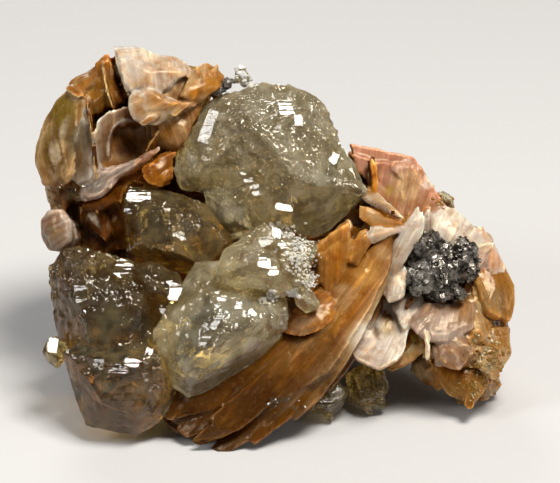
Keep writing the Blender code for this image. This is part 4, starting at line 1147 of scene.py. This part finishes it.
UPPER_RIGHT_PLATES = [
    dict(outline=[(15.3, 14.7), (16.0, 14.5), (16.7, 12.8), (17.0, 10.5), (16.7, 7.6), (15.6, 7.6),
                  (15.3, 10.8)],
         normal=(-0.5, 0.1, 0.86), root=(16.0, 6.0), tones=(ORANGE, ORANGE, AMBER), stain=0.2, raised=2.2,
         thickness=0.8, dome=0.3, lean=0.1, petals=0, terraces=0),
    dict(outline=[(11.4, 16.8), (13.6, 16.4), (16.7, 15.7), (20.4, 15.0), (22.8, 14.3), (24.5, 12.0),
                  (26.0, 9.3), (27.5, 7.1), (28.9, 5.2), (27.4, 2.0), (23.6, -0.4), (18.5, -0.1),
                  (14.6, 4.2), (15.0, 9.6), (12.3, 13.8)],
         normal=(0.1, 0.22, 0.97), root=(16.0, -6.0), tones=(HONEY, PINK, PINK), stain=0.25,
         thickness=3.2, dome=-0.8, layers=3, petals=0),
    dict(outline=[(19.0, 13.9), (22.1, 14.2), (24.5, 13.0), (25.5, 10.5), (26.0, 7.6), (23.8, 7.1),
                  (21.8, 8.8), (20.1, 10.8), (18.7, 12.5)],
         normal=(0.45, 0.1, 0.88), root=(21.1, 5.0), tones=(CREAM, PINK, WHITE), stain=0.15, raised=0.8,
         thickness=0.9, dome=-0.5),
    dict(outline=[(17.0, 13.5), (19.0, 13.2), (20.7, 10.1), (21.8, 7.1), (21.1, 4.7), (19.4, 6.0),
                  (17.7, 8.8)],
         normal=(-0.45, 0.2, 0.87), root=(21.1, 2.8), tones=(ORANGE, PINK, CREAM), stain=0.3, raised=0.8,
         thickness=0.9, dome=-0.4),
    dict(outline=[(13.4, 8.8), (15.3, 8.6), (17.7, 7.2), (20.1, 5.2), (21.8, 3.1), (20.4, 3.5),
                  (18.0, 4.5), (15.3, 5.9), (13.6, 7.2)],
         normal=(-0.2, 0.6, 0.78), root=(22.4, 2.6), tones=(CREAM, CREAM, WHITE), stain=0.3, raised=2.0,
         thickness=0.8, dome=0.2),
    dict(outline=[(13.3, 6.4), (15.3, 5.7), (18.0, 4.3), (20.4, 3.3), (21.8, 2.6), (20.1, 1.8),
                  (17.3, 1.6), (14.6, 2.6), (12.9, 4.3)],
         normal=(0.05, 0.25, 0.96), root=(22.4, 2.6), tones=(HONEY, CREAM, ORANGE), stain=0.5, raised=1.2,
         thickness=0.9, dome=0.2),
    dict(outline=[(15.0, 2.5), (17.7, 2.8), (20.4, 3.0), (21.9, 2.6), (20.4, 1.6), (18.0, 0.3),
                  (15.6, -0.8), (13.9, 0.3)],
         normal=(0.1, -0.1, 0.98), root=(22.8, 3.0), tones=(WHITE, CREAM, WHITE), stain=0.3, raised=1.4,
         thickness=0.9, dome=0.2),
    dict(outline=[(7.1, -1.8), (8.2, 0.9), (9.9, 3.0), (11.9, 4.3), (12.9, 2.6), (11.9, -0.1),
                  (10.5, -2.5), (8.8, -4.5)],
         normal=(-0.3, 0.3, 0.9), root=(11.1, -7.4), tones=(HONEY, AMBER, CREAM), stain=0.6, raised=0.4,
         thickness=1.0, dome=0.3, petals=0),
    dict(outline=[(10.9, -3.5), (11.9, -0.4), (13.3, 2.0), (15.0, 2.6), (15.6, 0.6), (14.6, -2.1),
                  (12.9, -4.8)],
         normal=(0.35, 0.2, 0.9), root=(12.2, -8.2), tones=(HONEY, AMBER * 0.8, ORANGE), stain=0.6,
         raised=0.2, thickness=1.0, dome=0.3, petals=0),
    dict(outline=[(5.4, -0.9), (8.2, 1.6), (11.7, 3.7), (12.4, -1.4), (10.2, -8.1), (7.7, -10.8),
                  (6.0, -6.5)],
         normal=(0.3, 0.1, 0.95), root=(8.0, -14.0), tones=(STAIN, ORANGE, AMBER), stain=0.5, raised=-0.6,
         petals=0),
    dict(outline=[(23.6, 6.5), (25.0, 4.3), (24.7, 1.6), (23.1, -1.1), (21.4, -3.8), (19.2, -6.7),
                  (17.7, -6.0), (18.2, -2.8), (19.4, 0.3), (21.1, 3.0), (22.4, 5.0)],
         normal=(-0.35, 0.2, 0.9), root=(18.0, -9.3), tones=(CREAM, WHITE, WHITE), stain=0.05, raised=2.0,
         thickness=0.9, dome=0.3, petals=0),
    dict(outline=[(25.2, 5.7), (26.2, 3.7), (25.2, 0.9), (23.1, -2.1), (21.1, -4.5), (21.1, -1.4),
                  (22.8, 2.0)],
         normal=(0.5, 0.1, 0.86), root=(20.1, -7.4), tones=(CREAM, LILAC, WHITE), stain=0.05, raised=1.4,
         thickness=1.0, dome=0.3, petals=0),
    dict(outline=[(25.2, 4.3), (27.9, 6.0), (29.9, 5.4), (32.3, 3.3), (34.7, 0.3), (35.5, -2.8),
                  (34.0, -5.5), (30.6, -4.5), (27.2, -2.1), (24.8, 0.6)],
         normal=(0.25, 0.42, 0.87), root=(25.8, -6.5), tones=(CREAM, WHITE, WHITE), stain=0.1,
         thickness=2.8, dome=0.8),
]
BOWL_PLATES = [
    dict(outline=[(10.7, -17.1), (12.2, -13.0), (16.7, -9.9), (21.1, -10.6), (22.3, -15.0),
                  (21.1, -19.8), (17.0, -22.4), (12.6, -20.5)],
         normal=(-0.15, 0.35, 0.92), root=(21.1, -8.6), tones=(WHITE, WHITE * 1.1, WHITE * 1.3),
         stain=0.0, raised=0.6, thickness=2.4, dome=-2.0, terraces=0),
    dict(outline=[(15.6, -14.0), (16.7, -11.6), (19.7, -12.0), (21.1, -15.0), (18.7, -18.1),
                  (16.3, -16.7)],
         normal=(0.15, 0.25, 0.95), root=(20.4, -8.2), tones=(YELLOW * 2.0, CREAM * 1.3, WHITE),
         stain=0.0, raised=1.0, thickness=1.4, dome=0.3),
    dict(outline=[(17.7, -5.2), (20.1, -2.8), (22.3, -4.8), (21.4, -9.9), (18.4, -11.0), (16.8, -7.9)],
         normal=(-0.3, 0.2, 0.93), root=(21.1, 0.3), tones=(CREAM, WHITE, WHITE), stain=0.0, raised=0.4,
         thickness=1.8, dome=0.5, petals=0),
    dict(outline=[(18.4, -11.0), (21.4, -8.6), (24.5, -9.9), (23.8, -14.0), (20.7, -15.7)],
         normal=(0.1, 0.4, 0.9), root=(24.5, -7.6), tones=(LILAC, WHITE, WHITE), stain=0.0, raised=0.2,
         thickness=2.0, dome=0.5),
]
KNOB_PLATES = [
    dict(outline=[(24.5, -14.7), (25.3, -14.7), (25.7, -17.6), (25.5, -20.5), (24.8, -20.7),
                  (24.5, -17.8)],
         normal=(-0.5, 0.1, 0.85), root=(24.8, -13.0), tones=(CREAM, WHITE, WHITE), stain=0.05,
         raised=1.2, thickness=1.0, dome=0.1, petals=0, terraces=0),
    dict(outline=[(20.7, -13.7), (23.8, -10.5), (28.9, -10.8), (33.7, -9.9), (33.0, -15.4),
                  (28.2, -17.8), (24.5, -17.4)],
         normal=(0.05, 0.38, 0.92), root=(29.8, -4.8), tones=(HONEY, LILAC * 0.8, LILAC * 1.3), stain=0.1,
         raised=-0.8, dome=0.5, terraces=0),
    dict(outline=[(25.2, -17.4), (30.9, -15.6), (33.7, -18.4), (30.9, -22.2), (26.2, -21.5)],
         normal=(-0.1, 0.2, 0.97), root=(23.8, -13.3), tones=(HONEY, LILAC * 0.8, LILAC), stain=0.3,
         raised=-0.4, thickness=2.0, dome=0.5, petals=2),
    dict(outline=[(33.0, -1.4), (37.1, -3.5), (40.1, -9.6), (38.8, -14.4), (34.7, -13.0), (32.0, -7.2)],
         normal=(0.5, 0.3, 0.81), root=(33.0, 0.9), tones=(HONEY, HONEY * 0.7, AMBER), stain=0.5,
         raised=-0.6, thickness=3.4, dome=0.8),
    dict(outline=[(25.2, -21.2), (29.9, -18.8), (34.7, -20.1), (36.0, -24.2), (33.0, -28.3),
                  (28.2, -26.3)],
         normal=(-0.1, -0.05, 0.99), root=(32.3, -16.1), tones=(STAIN, HONEY, AMBER), stain=0.7,
         raised=-0.6, petals=2),
    dict(outline=[(32.0, 3.0), (35.4, 1.3), (38.2, -5.2), (36.0, -7.2), (31.6, -1.1)],
         normal=(0.5, 0.4, 0.77), root=(32.3, -4.8), tones=(CREAM, PINK, WHITE), stain=0.05, raised=-0.4,
         thickness=2.6, dome=0.8),
    dict(outline=[(33.3, -15.0), (38.8, -14.0), (39.4, -19.5), (36.4, -24.2), (33.0, -21.5)],
         normal=(0.4, 0.15, 0.9), root=(33.0, -9.9), tones=(HONEY, HONEY, CREAM), stain=0.5, raised=-1.1,
         thickness=2.0, dome=0.5, terraces=0),
]
FAN_PLATES = [
    dict(outline=[(-28.5, 0.5), (-20.5, 1.5), (-17.0, -3.5), (-19.5, -9.0), (-27.0, -8.0)],
         normal=(0.0, 0.1, 0.99), root=(-22.0, -20.0), tones=(BROWN, BROWN, STAIN), stain=0.6,
         raised=-2.0, thickness=1.0, terraces=2),
    dict(outline=[(-1.4, -13.0), (0.7, -10.3), (3.4, -8.6), (6.5, -7.6), (8.8, -8.6), (10.2, -10.6),
                  (9.2, -13.3), (7.1, -15.4), (4.1, -16.4), (1.0, -16.1), (-1.0, -15.0)],
         normal=(-0.25, 0.4, 0.88), root=(12.2, -4.5), tones=(ORANGE, LILAC * 0.7, ORANGE), stain=0.4,
         raised=0.8, thickness=1.2, dome=0.5, petals=0),
    dict(outline=[(20.0, 1.0), (18.8, -5.0), (15.5, -11.5), (12.0, -17.5), (8.4, -22.6), (3.0, -26.2),
                  (-3.0, -29.4), (-10.0, -32.2), (-17.0, -32.0), (-20.2, -29.8), (-18.0, -25.5),
                  (-8.0, -18.0), (4.0, -9.0), (12.0, -1.0)],
         normal=(-0.16, 0.30, 0.94), root=(24.0, 10.0), tones=(ORANGE, HONEY, CREAM), stain=0.8,
         raised=-0.8, dome=0.4, lean=0.0, petals=0, terraces=0),
    # The lowest plate's dark brown colours are partly painted shade
    dict(outline=[(12.0, -17.0), (10.8, -22.6), (7.0, -26.2), (3.5, -29.0), (-1.5, -31.5), (-7.0, -33.6),
                  (-10.4, -34.7), (-11.6, -33.6), (-13.4, -34.2), (-16.5, -33.6), (-19.5, -31.6),
                  (-20.6, -29.4), (-15.0, -24.0), (0.0, -18.0)],
         normal=(-0.14, 0.26, 0.96), root=(18.0, -6.0), tones=(BROWN, STAIN, GREY), stain=0.9,
         raised=-0.6, thickness=2.6, dome=0.4, lean=0.0, petals=0, terraces=2),
]

# The fan's long plates run from one place and bend. Each has an angle, half a width, the distances
# of its ends from that place, how it tips sideways, its colours and its stain
FAN_SOURCE = (24.0, 11.0)
FAN_REACH = 60.0
FAN_BEND = 19.0  # degrees over the reach
FAN_NORMAL = (-0.20, 0.34, 0.92)
FAN_STRIPS = [
    (222.5, 4.2, 14.0, 60.0, 0.08, (ORANGE, HONEY, ORANGE), 0.6),
    (227.0, 3.2, 9.0, 60.0, -0.10, (HONEY, HONEY * 0.9, AMBER), 0.4),
    (230.0, 2.6, 7.0, 60.0, 0.12, (AMBER, HONEY, ORANGE), 0.6),
    (233.0, 2.8, 8.0, 59.0, -0.10, (ORANGE, AMBER * 0.8, CREAM), 0.4),
    (235.5, 2.2, 6.0, 54.0, 0.16, (HONEY, ORANGE, ORANGE), 0.8),
    (238.0, 2.2, 7.0, 47.0, -0.14, (CREAM, AMBER, CREAM), 0.4),
    (240.0, 1.8, 9.0, 40.0, 0.16, (ORANGE, CREAM, WHITE), 0.5),
    (241.5, 1.6, 11.0, 32.0, -0.14, (WHITE, CREAM, ORANGE), 0.5),
]

# Thin blades seen edge on
ROSETTE_FINS = [
    dict(centre=(-28.4, 25.6, 1.0), along=(0.25, -0.97, 0.0), normal=(0.95, 0.25, 0.2), length=12.5,
         width=9.0, thickness=0.5, tones=(HONEY, HONEY, CREAM), stain=0.5),
    dict(centre=(-31.7, 17.2, 1.6), along=(0.12, -0.99, 0.0), normal=(0.97, 0.12, 0.2), length=16.5,
         width=8.5, thickness=0.45, bend=0.8, tones=(HONEY, HONEY, CREAM), stain=0.4),
    dict(centre=(-20.6, 17.0, 0.8), along=(-0.45, -0.85, 0.1), normal=(0.75, -0.45, 0.45), length=10.0,
         width=7.0, thickness=0.5, bend=0.5, tones=(BROWN, ORANGE, CREAM), stain=0.6),
    dict(centre=(-35.0, 15.0, 1.2), along=(0.3, 0.94, 0.0), normal=(-0.85, 0.3, 0.45), length=14.0,
         width=5.0, thickness=0.5, tones=(YELLOW, GREY, CREAM), stain=0.2),
]


def fan_plate(angle, half, near, far, tip, tones, stain):
    """A long plate of the fan, as plates() takes it."""
    t = np.linspace(0.0, 1.0, 8)
    distance = near + (far - near) * t
    middle = np.radians(angle + FAN_BEND * (1.0 - distance / FAN_REACH))
    spread = np.radians(half) * np.sqrt(np.clip(1.15 - t**8, 0.0, 1.0))
    sides = []
    for sign, order in ((1.0, 1), (-1.0, -1)):
        a = (middle + sign * spread)[::order]
        r = distance[::order]
        sides.append(np.column_stack([r * np.cos(a), r * np.sin(a)]) + FAN_SOURCE)
    a = math.radians(angle + 0.4 * FAN_BEND)
    normal = np.array(FAN_NORMAL) + tip * np.array((-math.sin(a), math.cos(a), 0.0))
    return dict(outline=np.vstack(sides), normal=normal, thickness=1.5, dome=0.2, root=FAN_SOURCE,
                tones=tones, stain=stain, slender=0.14, lean=0.0)


SHINGLES = ((3.4, 0.16), (1.2, 0.05))  # width and height of the narrow blades on every plate


def shingles(grain):
    """The height of narrow blades that overlap like shingles, along the fibres."""
    height = np.zeros(len(grain))
    for seed, (width, rise) in enumerate(SHINGLES):
        drift = 1.3 * noise(grain * (0.25, 0.07, 0.0), 1.0, 131 + seed)
        place = grain[:, 0] / width + drift
        present = 0.5 + 0.5 * noise(grain * (0.3, 0.1, 0.0), 1.0, 137 + seed)
        height += rise * (place - np.floor(place) - 0.5) * present
    return height


def barite_piece(plate_forms, fin_forms, seed, support):
    """One region's plates and blades in one skin: its points, faces, colours and grain."""
    parts = Parts()
    for i, form in enumerate(plate_forms):
        plates(parts, support, seed + 1000 * i, **form)
    for i, form in enumerate(fin_forms):
        fin(parts, seed + 500 + 1000 * i, **form)
    points, faces, tones, grain = parts.stacked()
    fine, normals, skin = remeshed(points, faces, SKIN_VOXEL)
    tree = tree_of(points, faces)
    found = [tree.find_nearest(point)[2] for point in fine.tolist()]
    corners = np.array([face if len(face) == 4 else (*face, face[2]) for face in faces])[found]
    weight = 1.0 / (np.linalg.norm(points[corners] - fine[:, None], axis=2) + 0.05)
    weight = (weight / weight.sum(axis=1, keepdims=True))[:, :, None]
    grain = (grain[corners] * weight).sum(axis=1)
    fine = smoothed(fine, sides_of(skin), 1, 0.35)
    fine = fine + unit(normals) * shingles(grain)[:, None]
    return fine, skin, (tones[corners] * weight).sum(axis=1), grain


# Colours of places on the display face: centre, radius, colour and strength. Most are stains and pale
# places; the darkest ones, in recesses, in the cup, low on the fan and under the bowl, are partly painted
# shade, and the whites made brighter than WHITE, on the bowl and on the knob's top, are partly painted
# highlight
PLACE_COLOURS_AND_PAINTED_LIGHT = [
    (-25.2, 30.2, 3.4, WHITE, 0.8), (-21.0, 28.0, 1.8, WHITE * 0.9, 0.6), (-11.4, 26.4, 2.9, ORANGE, 0.7),
    (-12.6, 29.2, 1.4, CREAM, 0.6), (-16.8, 28.6, 1.6, CREAM * 1.2, 0.6),
    (-17.7, 22.0, 2.4, AMBER * 0.8, 0.6), (-15.0, 24.1, 1.5, ORANGE, 0.7),
    (-22.1, 22.6, 1.8, CREAM * 1.2, 0.5), (-28.6, 26.4, 1.5, HONEY, 0.6), (-32.0, 25.8, 1.9, ORANGE, 0.5),
    (-37.4, 22.5, 2.6, YELLOW * 0.8, 0.8), (-34.0, 16.9, 3.4, GREY * 0.6, 0.8),
    (-37.1, 15.6, 1.4, CREAM, 0.5), (-26.5, 17.0, 3.2, BROWN, 0.85), (-22.1, 13.2, 3.1, STAIN, 0.7),
    (-36.7, 8.8, 2.6, BROWN * 1.6, 0.8), (-30.3, 2.6, 4.4, STAIN, 0.6), (-32.3, -0.6, 2.4, BROWN, 0.6),
    (-38.4, 2.0, 1.7, GREY * 1.8, 0.6),
    (20.1, 11.8, 4.4, PINK, 0.6), (15.9, 11.6, 1.3, ORANGE, 0.7), (15.7, 8.8, 1.3, ORANGE, 0.7),
    (21.9, 9.4, 3.0, CREAM * 1.2, 0.7), (18.8, 9.0, 1.3, YELLOW * 2.0, 0.6), (25.6, 10.6, 1.6, WHITE, 0.6),
    (24.7, 13.5, 1.7, CREAM * 1.2, 0.5), (27.0, 7.6, 1.6, PINK * 1.2, 0.7), (13.6, 15.6, 2.4, PINK, 0.5),
    (14.5, -5.5, 2.6, AMBER * 1.2, 0.6), (4.5, -17.5, 2.6, CREAM * 0.6, 0.5),
    (11.0, -9.5, 2.6, CREAM, 0.5), (8.0, -13.0, 1.6, ORANGE, 0.6),
    (29.2, 1.6, 4.4, WHITE * 1.1, 0.7), (22.1, 0.6, 2.2, WHITE, 0.6),
    (9.9, -0.4, 2.2, HONEY, 0.6), (14.6, -3.5, 3.1, HONEY, 0.5), (2.7, -13.7, 2.7, CREAM * 0.7, 0.5),
    (7.1, -18.4, 4.4, HONEY * 0.6, 0.6), (11.1, -24.4, 4.1, HONEY * 0.22, 0.85),
    (-4.0, -27.0, 5.0, BROWN * 2.0, 0.7), (2.5, -24.0, 3.0, STAIN, 0.6),
    (-14.0, -30.0, 4.0, BROWN * 1.5, 0.7),
    (16.3, -17.1, 4.6, WHITE * 1.5, 0.85), (18.0, -14.7, 1.5, YELLOW * 2.2, 0.5),
    (17.0, -2.0, 2.0, CREAM, 0.5), (32.6, -12.4, 2.2, HONEY * 0.7, 0.6),
    (29.4, -17.2, 1.8, LILAC * 0.7, 0.6),
    (27.2, -13.7, 2.7, LILAC, 0.6), (36.9, -9.9, 3.0, HONEY * 0.35 + GREY * 0.6, 0.75),
    (34.3, -3.5, 2.4, PINK, 0.5), (32.0, -18.8, 3.1, HONEY, 0.5), (36.0, -20.1, 2.4, CREAM * 1.2, 0.6),
    (28.2, -22.9, 2.4, ORANGE, 0.6), (32.3, -26.6, 3.1, HONEY * 0.9, 0.7),
]
PLACE_EDGE = (0.45, 1.15)  # where a place's colour begins to fade and where it ends, in its radii
PLACE_DEPTHS = (-14.0, -7.0)  # places further back than these keep their own colour
# How deep in a recess its orange-brown, partly real iron stain and partly painted shade, and its dark
# brown painted shade begin and are full
STAINED_SHADED_RECESS, BROWN_SHADED_RECESS = (0.22, 0.50), (0.36, 0.70)
PALE_TONES = (0.12, 0.30)  # how blue a colour is that takes less of a recess's stain and painted shade
STANDS_OUT = (0.07, 0.22)  # how far points stand out where the painted light of an edge begins, and where it is full
EDGE_LIGHT_TINT, EDGE_LIGHT_LIMIT = (0.12, 0.075, 0.03), 0.7
SHADED_LOW_SIDE = (3.0, 29.0)  # where the painted shade of the low side begins and where it is full


def painted(points, tones):
    """Blends in the colours of places on the display face, with uneven borders, some of them painted shade
    and painted highlight.
    """
    near = (VIEWING_DISTANCE - points[:, 2]) / VIEWING_DISTANCE
    u = points[:, 0] / near + 1.6 * rough_noise(points, 4.0, 3, 91)
    v = points[:, 1] / near + 1.6 * rough_noise(points, 4.0, 3, 93)
    front = ramp(points[:, 2], *PLACE_DEPTHS)
    for *spot, radius, colour, share in PLACE_COLOURS_AND_PAINTED_LIGHT:
        close = inside(u, v, spot, *(edge * radius for edge in PLACE_EDGE))
        tones = blend(tones, colour, share * close * front)
    return tones


def barite_object(name, made, material, tree, nodes=()):
    """Colours the piece by place, stains its recesses and paints shade in them, and paints shade on its
    low side and light on its edges.
    """
    points, faces, tones, grain = made
    obj = mesh_object(name, points, faces, {"grain": grain}, 65.0)
    normals = point_values(obj.data, "normal") @ TO_WORLD
    sides = sides_of(faces)
    tones = painted(points, tones)
    # Painted shade: points deep in a recess turn orange-brown, partly real iron stain, and then dark brown
    deep = smoothed(recess(points, normals, tree), sides, 5)
    taken = 1.0 - 0.6 * ramp(tones[:, 2], *PALE_TONES)
    tones = blend(tones, STAIN, 0.85 * taken * ramp(deep, *STAINED_SHADED_RECESS))
    tones = blend(tones, BROWN, 0.95 * taken * ramp(deep, *BROWN_SHADED_RECESS))
    # Painted shade: towards the lower left, the low side is blended to dark brown
    low = ramp(-points[:, 1] - 0.45 * points[:, 0], *SHADED_LOW_SIDE)
    tones = blend(tones, BROWN, 0.85 * low)
    # Painted light: edges that stand out are made paler, as if light glowed through them
    spacing = np.linalg.norm(points[sides[:, 0]] - points[sides[:, 1]], axis=1).mean()
    outward = ((points - smoothed(points, sides, 1, 1.0)) * normals).sum(axis=1) / spacing
    outward = smoothed(outward, sides, 1)
    painted_edge_light = np.minimum(1.4 * tones + EDGE_LIGHT_TINT, EDGE_LIGHT_LIMIT)
    tones = blend(tones, painted_edge_light, 0.9 * ramp(outward, *STANDS_OUT))
    carry(obj.data, "tone", tones, colour=True)
    show(obj, material, nodes)


SUGARY = (36.0, -20.0)  # middle of the sugary place on the knob


def ground():
    """The ground and the knob: the CAD solid, a little smaller under the plates, and broken up."""
    points, triangles = node_mesh("barite_matrix")
    fine, normals, faces = remeshed(points, triangles, GROUND_VOXEL)
    u, v, w = fine.T
    knob = ramp(u, 23.0, 26.5) * (1.0 - ramp(v - 0.9 * (u - 28.0), -6.0, -1.0)) * ramp(w, -9.0, -5.0)
    back = 1.0 - ramp(w, -12.0, -7.0)
    sugary = knob * inside(u, v, SUGARY, 2.5, 6.0)
    inward = 0.5 * (1.0 - knob) + 0.45 * knob * (rough_noise(fine, 3.0, 3, 61) + 0.4)
    inward += (0.05 + 0.40 * back + 0.35 * knob) * np.abs(facets(fine, 3.6, 57))
    inward += 0.22 * knob * np.abs(facets(fine, 1.7, 59))
    books = np.abs(noise(fine * (1.0, 0.18, 0.4), 0.9, 67))
    inward += (0.05 + 0.25 * back) * ramp(books, 0.2, 0.4) * (1.0 - knob)
    inward += 0.45 * sugary * (hillocks(fine, 1.2, 65) - 0.3)
    fine = cut_back(fine, normals, inward)
    patch, middling = rough_noise(fine, 5.5, 3, 71), rough_noise(fine, 4.5, 2, 79)
    small = rough_noise(fine, 1.6, 3, 81)
    tones = blend(np.tile(CREAM, (len(fine), 1)), HONEY, ramp(patch, -0.35, 0.25))
    tones = blend(tones, STAIN, 0.7 * back * ramp(-patch, 0.0, 0.5))
    tones = blend(tones, YELLOW, 0.6 * knob * ramp(middling, 0.10, 0.5))
    tones = blend(tones, STAIN, 0.6 * knob * ramp(-middling, 0.05, 0.5))
    pale = 0.5 * back * ramp(small, 0.15, 0.5) + 0.5 * sugary * ramp(small, -0.2, 0.3)
    dark = 0.6 * back * ramp(-small, 0.2, 0.55) + 0.4 * sugary * ramp(-small, 0.1, 0.5)
    tones = blend(blend(tones, WHITE, pale), BROWN, dark)
    return fine, faces, tones, np.column_stack([u + 0.4 * v, v, w])


# Galena

GALENA = [  # the number of cubes, half their width, the fineness of the mesh, the seed
    ("galena_cluster", 800, 0.30, MEDIUM_VOXEL, 5),
    ("galena_speck", 60, 0.30, SMALL_VOXEL, 8),
]
DULL_SIDE = (22.6, 24.2)  # where the dull side ends and the bright one begins
DEEPEST = 0.7


def cube_at(parts, centre, half, rng):
    """A small cube, turned at random."""
    axis = unit([rng.uniform(-1.0, 1.0) for _ in range(3)])
    turn = np.array(Matrix.Rotation(rng.uniform(0.0, math.pi), 3, Vector(axis)))
    corners = np.array([(x, y, z) for x in (-1, 1) for y in (-1, 1) for z in (-1, 1)], float) * half
    faces = [(0, 1, 3, 2), (4, 6, 7, 5), (0, 4, 5, 1), (2, 3, 7, 6), (0, 2, 6, 4), (1, 5, 7, 3)]
    parts.add(centre + corners @ turn.T, faces)


def galena(name, cubes, half, voxel, seed, material):
    """A CAD galena cluster, broken into small faces and covered with small cubes."""
    points, triangles = node_mesh(name)
    fine, normals, faces = remeshed(points, triangles, voxel)
    inward = 0.25 + 0.5 * (hillocks(fine, 2.4, seed, 0.8) - 0.8) + 0.40 * facets(fine, 1.2, seed + 2)
    inward += 0.3 * rough_noise(fine, 1.6, 3, seed + 1)
    most = min(DEEPEST, 0.06 * np.ptp(points, axis=0).max())
    fine = cut_back(fine, normals, np.clip(inward, 0.0, most))
    parts = Parts()
    parts.add(fine, faces)
    rng = random.Random(seed)
    outer = [i for i in range(len(fine)) if normals[i][2] > -0.3 and inward[i] < 0.5]
    for i in rng.sample(outer, cubes):
        size = half * rng.uniform(0.5, 1.4)
        cube_at(parts, fine[i] - unit(normals[i]) * 0.3 * size, size, rng)
    points, faces, _, _ = parts.stacked()
    dull = 1.0 - ramp(points[:, 0] + 0.3 * points[:, 1], *DULL_SIDE)
    show(mesh_object(name + "_cubes", points, faces, {"dull": dull}, 20.0), material, [name])


# Small crystals scattered on the others: centre on the face, how far they spread, number and size
FROST_SPOTS = [
    (-7.3, 27.8, 1.7, 1.5, 26, 0.60), (-5.6, 26.8, 1.2, 0.8, 14, 0.5), (3.4, -2.2, 2.6, 3.0, 260, 0.26),
    (-0.6, 2.6, 2.0, 0.8, 60, 0.20), (0.6, 1.4, 2.0, 1.0, 80, 0.24), (5.0, -6.6, 1.5, 1.4, 120, 0.26),
    (2.4, -8.8, 0.9, 0.7, 50, 0.42), (-2.0, -9.6, 2.0, 1.4, 60, 0.28),
]
OLIVE_SPOTS = [
    (11.0, -30.0, 3.6, 1.6, 34, 0.8), (18.0, -28.4, 3.4, 2.0, 34, 0.8), (1.0, -27.4, 3.2, 1.2, 26, 0.45),
    (-36.6, 8.4, 2.6, 2.6, 60, 0.45),
]
SUGAR_SPOTS = [
    (35.6, -19.8, 4.0, 4.6, 240, 0.30), (33.0, -24.5, 3.2, 2.4, 90, 0.28), (27.8, 6.8, 1.8, 1.0, 30, 0.4),
]


def grain_at(parts, centre, size, rng):
    """A small six-sided pointed crystal of uneven shape, set at random and sunk in."""
    centre = centre - OUT_OF_FACE * 0.35 * size
    axis = unit([rng.gauss(0.0, 0.6), rng.gauss(0.2, 0.6), 1.0])
    side = unit(np.cross(axis, (0.3, 1.0, 0.1)))
    other = np.cross(axis, side)
    start = rng.uniform(0.0, math.pi)
    flatness = rng.uniform(0.6, 1.0)
    corners = [centre - axis * size]
    for lift, reach in ((-0.5, rng.uniform(0.7, 1.1)), (0.5, rng.uniform(0.5, 0.9))):
        for k in range(6):
            a = start + k * math.pi / 3.0
            out = side * math.cos(a) + other * math.sin(a) * flatness
            corners.append(centre + axis * size * lift + out * size * reach)
    corners.append(centre + axis * size * rng.uniform(0.7, 1.1))
    faces = []
    for k in range(6):
        a, b = 1 + k, 1 + (k + 1) % 6
        faces += [(0, b, a), (a, b, b + 6, a + 6), (13, a + 6, b + 6)]
    parts.add(np.array(corners), faces)


def grains(name, spots, carrier, material, seed):
    """Small crystals that sit on what the camera sees at each spot."""
    rng = random.Random(seed)
    parts = Parts()
    for cu, cv, across, up, count, size in spots:
        for _ in range(count):
            u, v = rng.gauss(cu, 0.5 * across), rng.gauss(cv, 0.5 * up)
            own = size * rng.uniform(0.3, 1.5)
            hit = looked_at(carrier, u, v)[0]
            if hit is not None:
                grain_at(parts, np.array(hit), own, rng)
    points, faces, _, _ = parts.stacked()
    plain = np.zeros(len(points))
    obj = mesh_object(name, points, faces, {"rough": plain, "stripe": plain, "grain": points}, 20.0)
    paler = ramp(noise(points, 1.0, seed), -0.4, 0.5)
    carry(obj.data, "tone", blend(np.tile(HONEY, (len(points), 1)), CREAM * 1.1, paler), colour=True)
    show(obj, material)


# The whole scene


def main():
    bpy.context.scene.view_settings.view_transform = "Standard"
    add_world()
    add_floor()
    for light in LIGHTS:
        add_area_light(*light)
    add_camera()

    pale, deep, frost = (cerussite_material(look) for look in ("pale", "deep", "frost"))
    for name, look in CRYSTALS.items():
        crystal(name, deep if look.get("deep") else pale)

    waxy = barite_material()
    support = tree_of(*node_mesh("barite_matrix"))
    right = UPPER_RIGHT_PLATES + BOWL_PLATES + KNOB_PLATES
    fan = FAN_PLATES + [fan_plate(*form) for form in FAN_STRIPS]
    made = {
        "barite_ground": ground(),
        "barite_rosette": barite_piece(ROSETTE_PLATES, ROSETTE_FINS, 100, support),
        "barite_upper_right": barite_piece(right, [], 200, support),
        "barite_fan": barite_piece(fan, [], 300, support),
    }
    barite = [part[:2] for part in made.values()]
    crystals = [node_mesh(name) for name in CRYSTALS]
    shade = joined_tree(barite + crystals)
    for name, part in made.items():
        barite_object(name, part, waxy, shade, ["barite_matrix"] if name == "barite_ground" else [])

    carrier = joined_tree(barite + crystals + [node_mesh("galena_speck")])
    grains("cerussite_grains", FROST_SPOTS, carrier, frost, 11)
    # Painted shade: these small crystals, low on the specimen, take the darker deep look because they lie
    # in shadow
    grains("cerussite_small", OLIVE_SPOTS, carrier, deep, 12)
    grains("barite_sugar", SUGAR_SPOTS, carrier, waxy, 13)

    metal = galena_material()
    for form in GALENA:
        galena(*form, metal)


main()
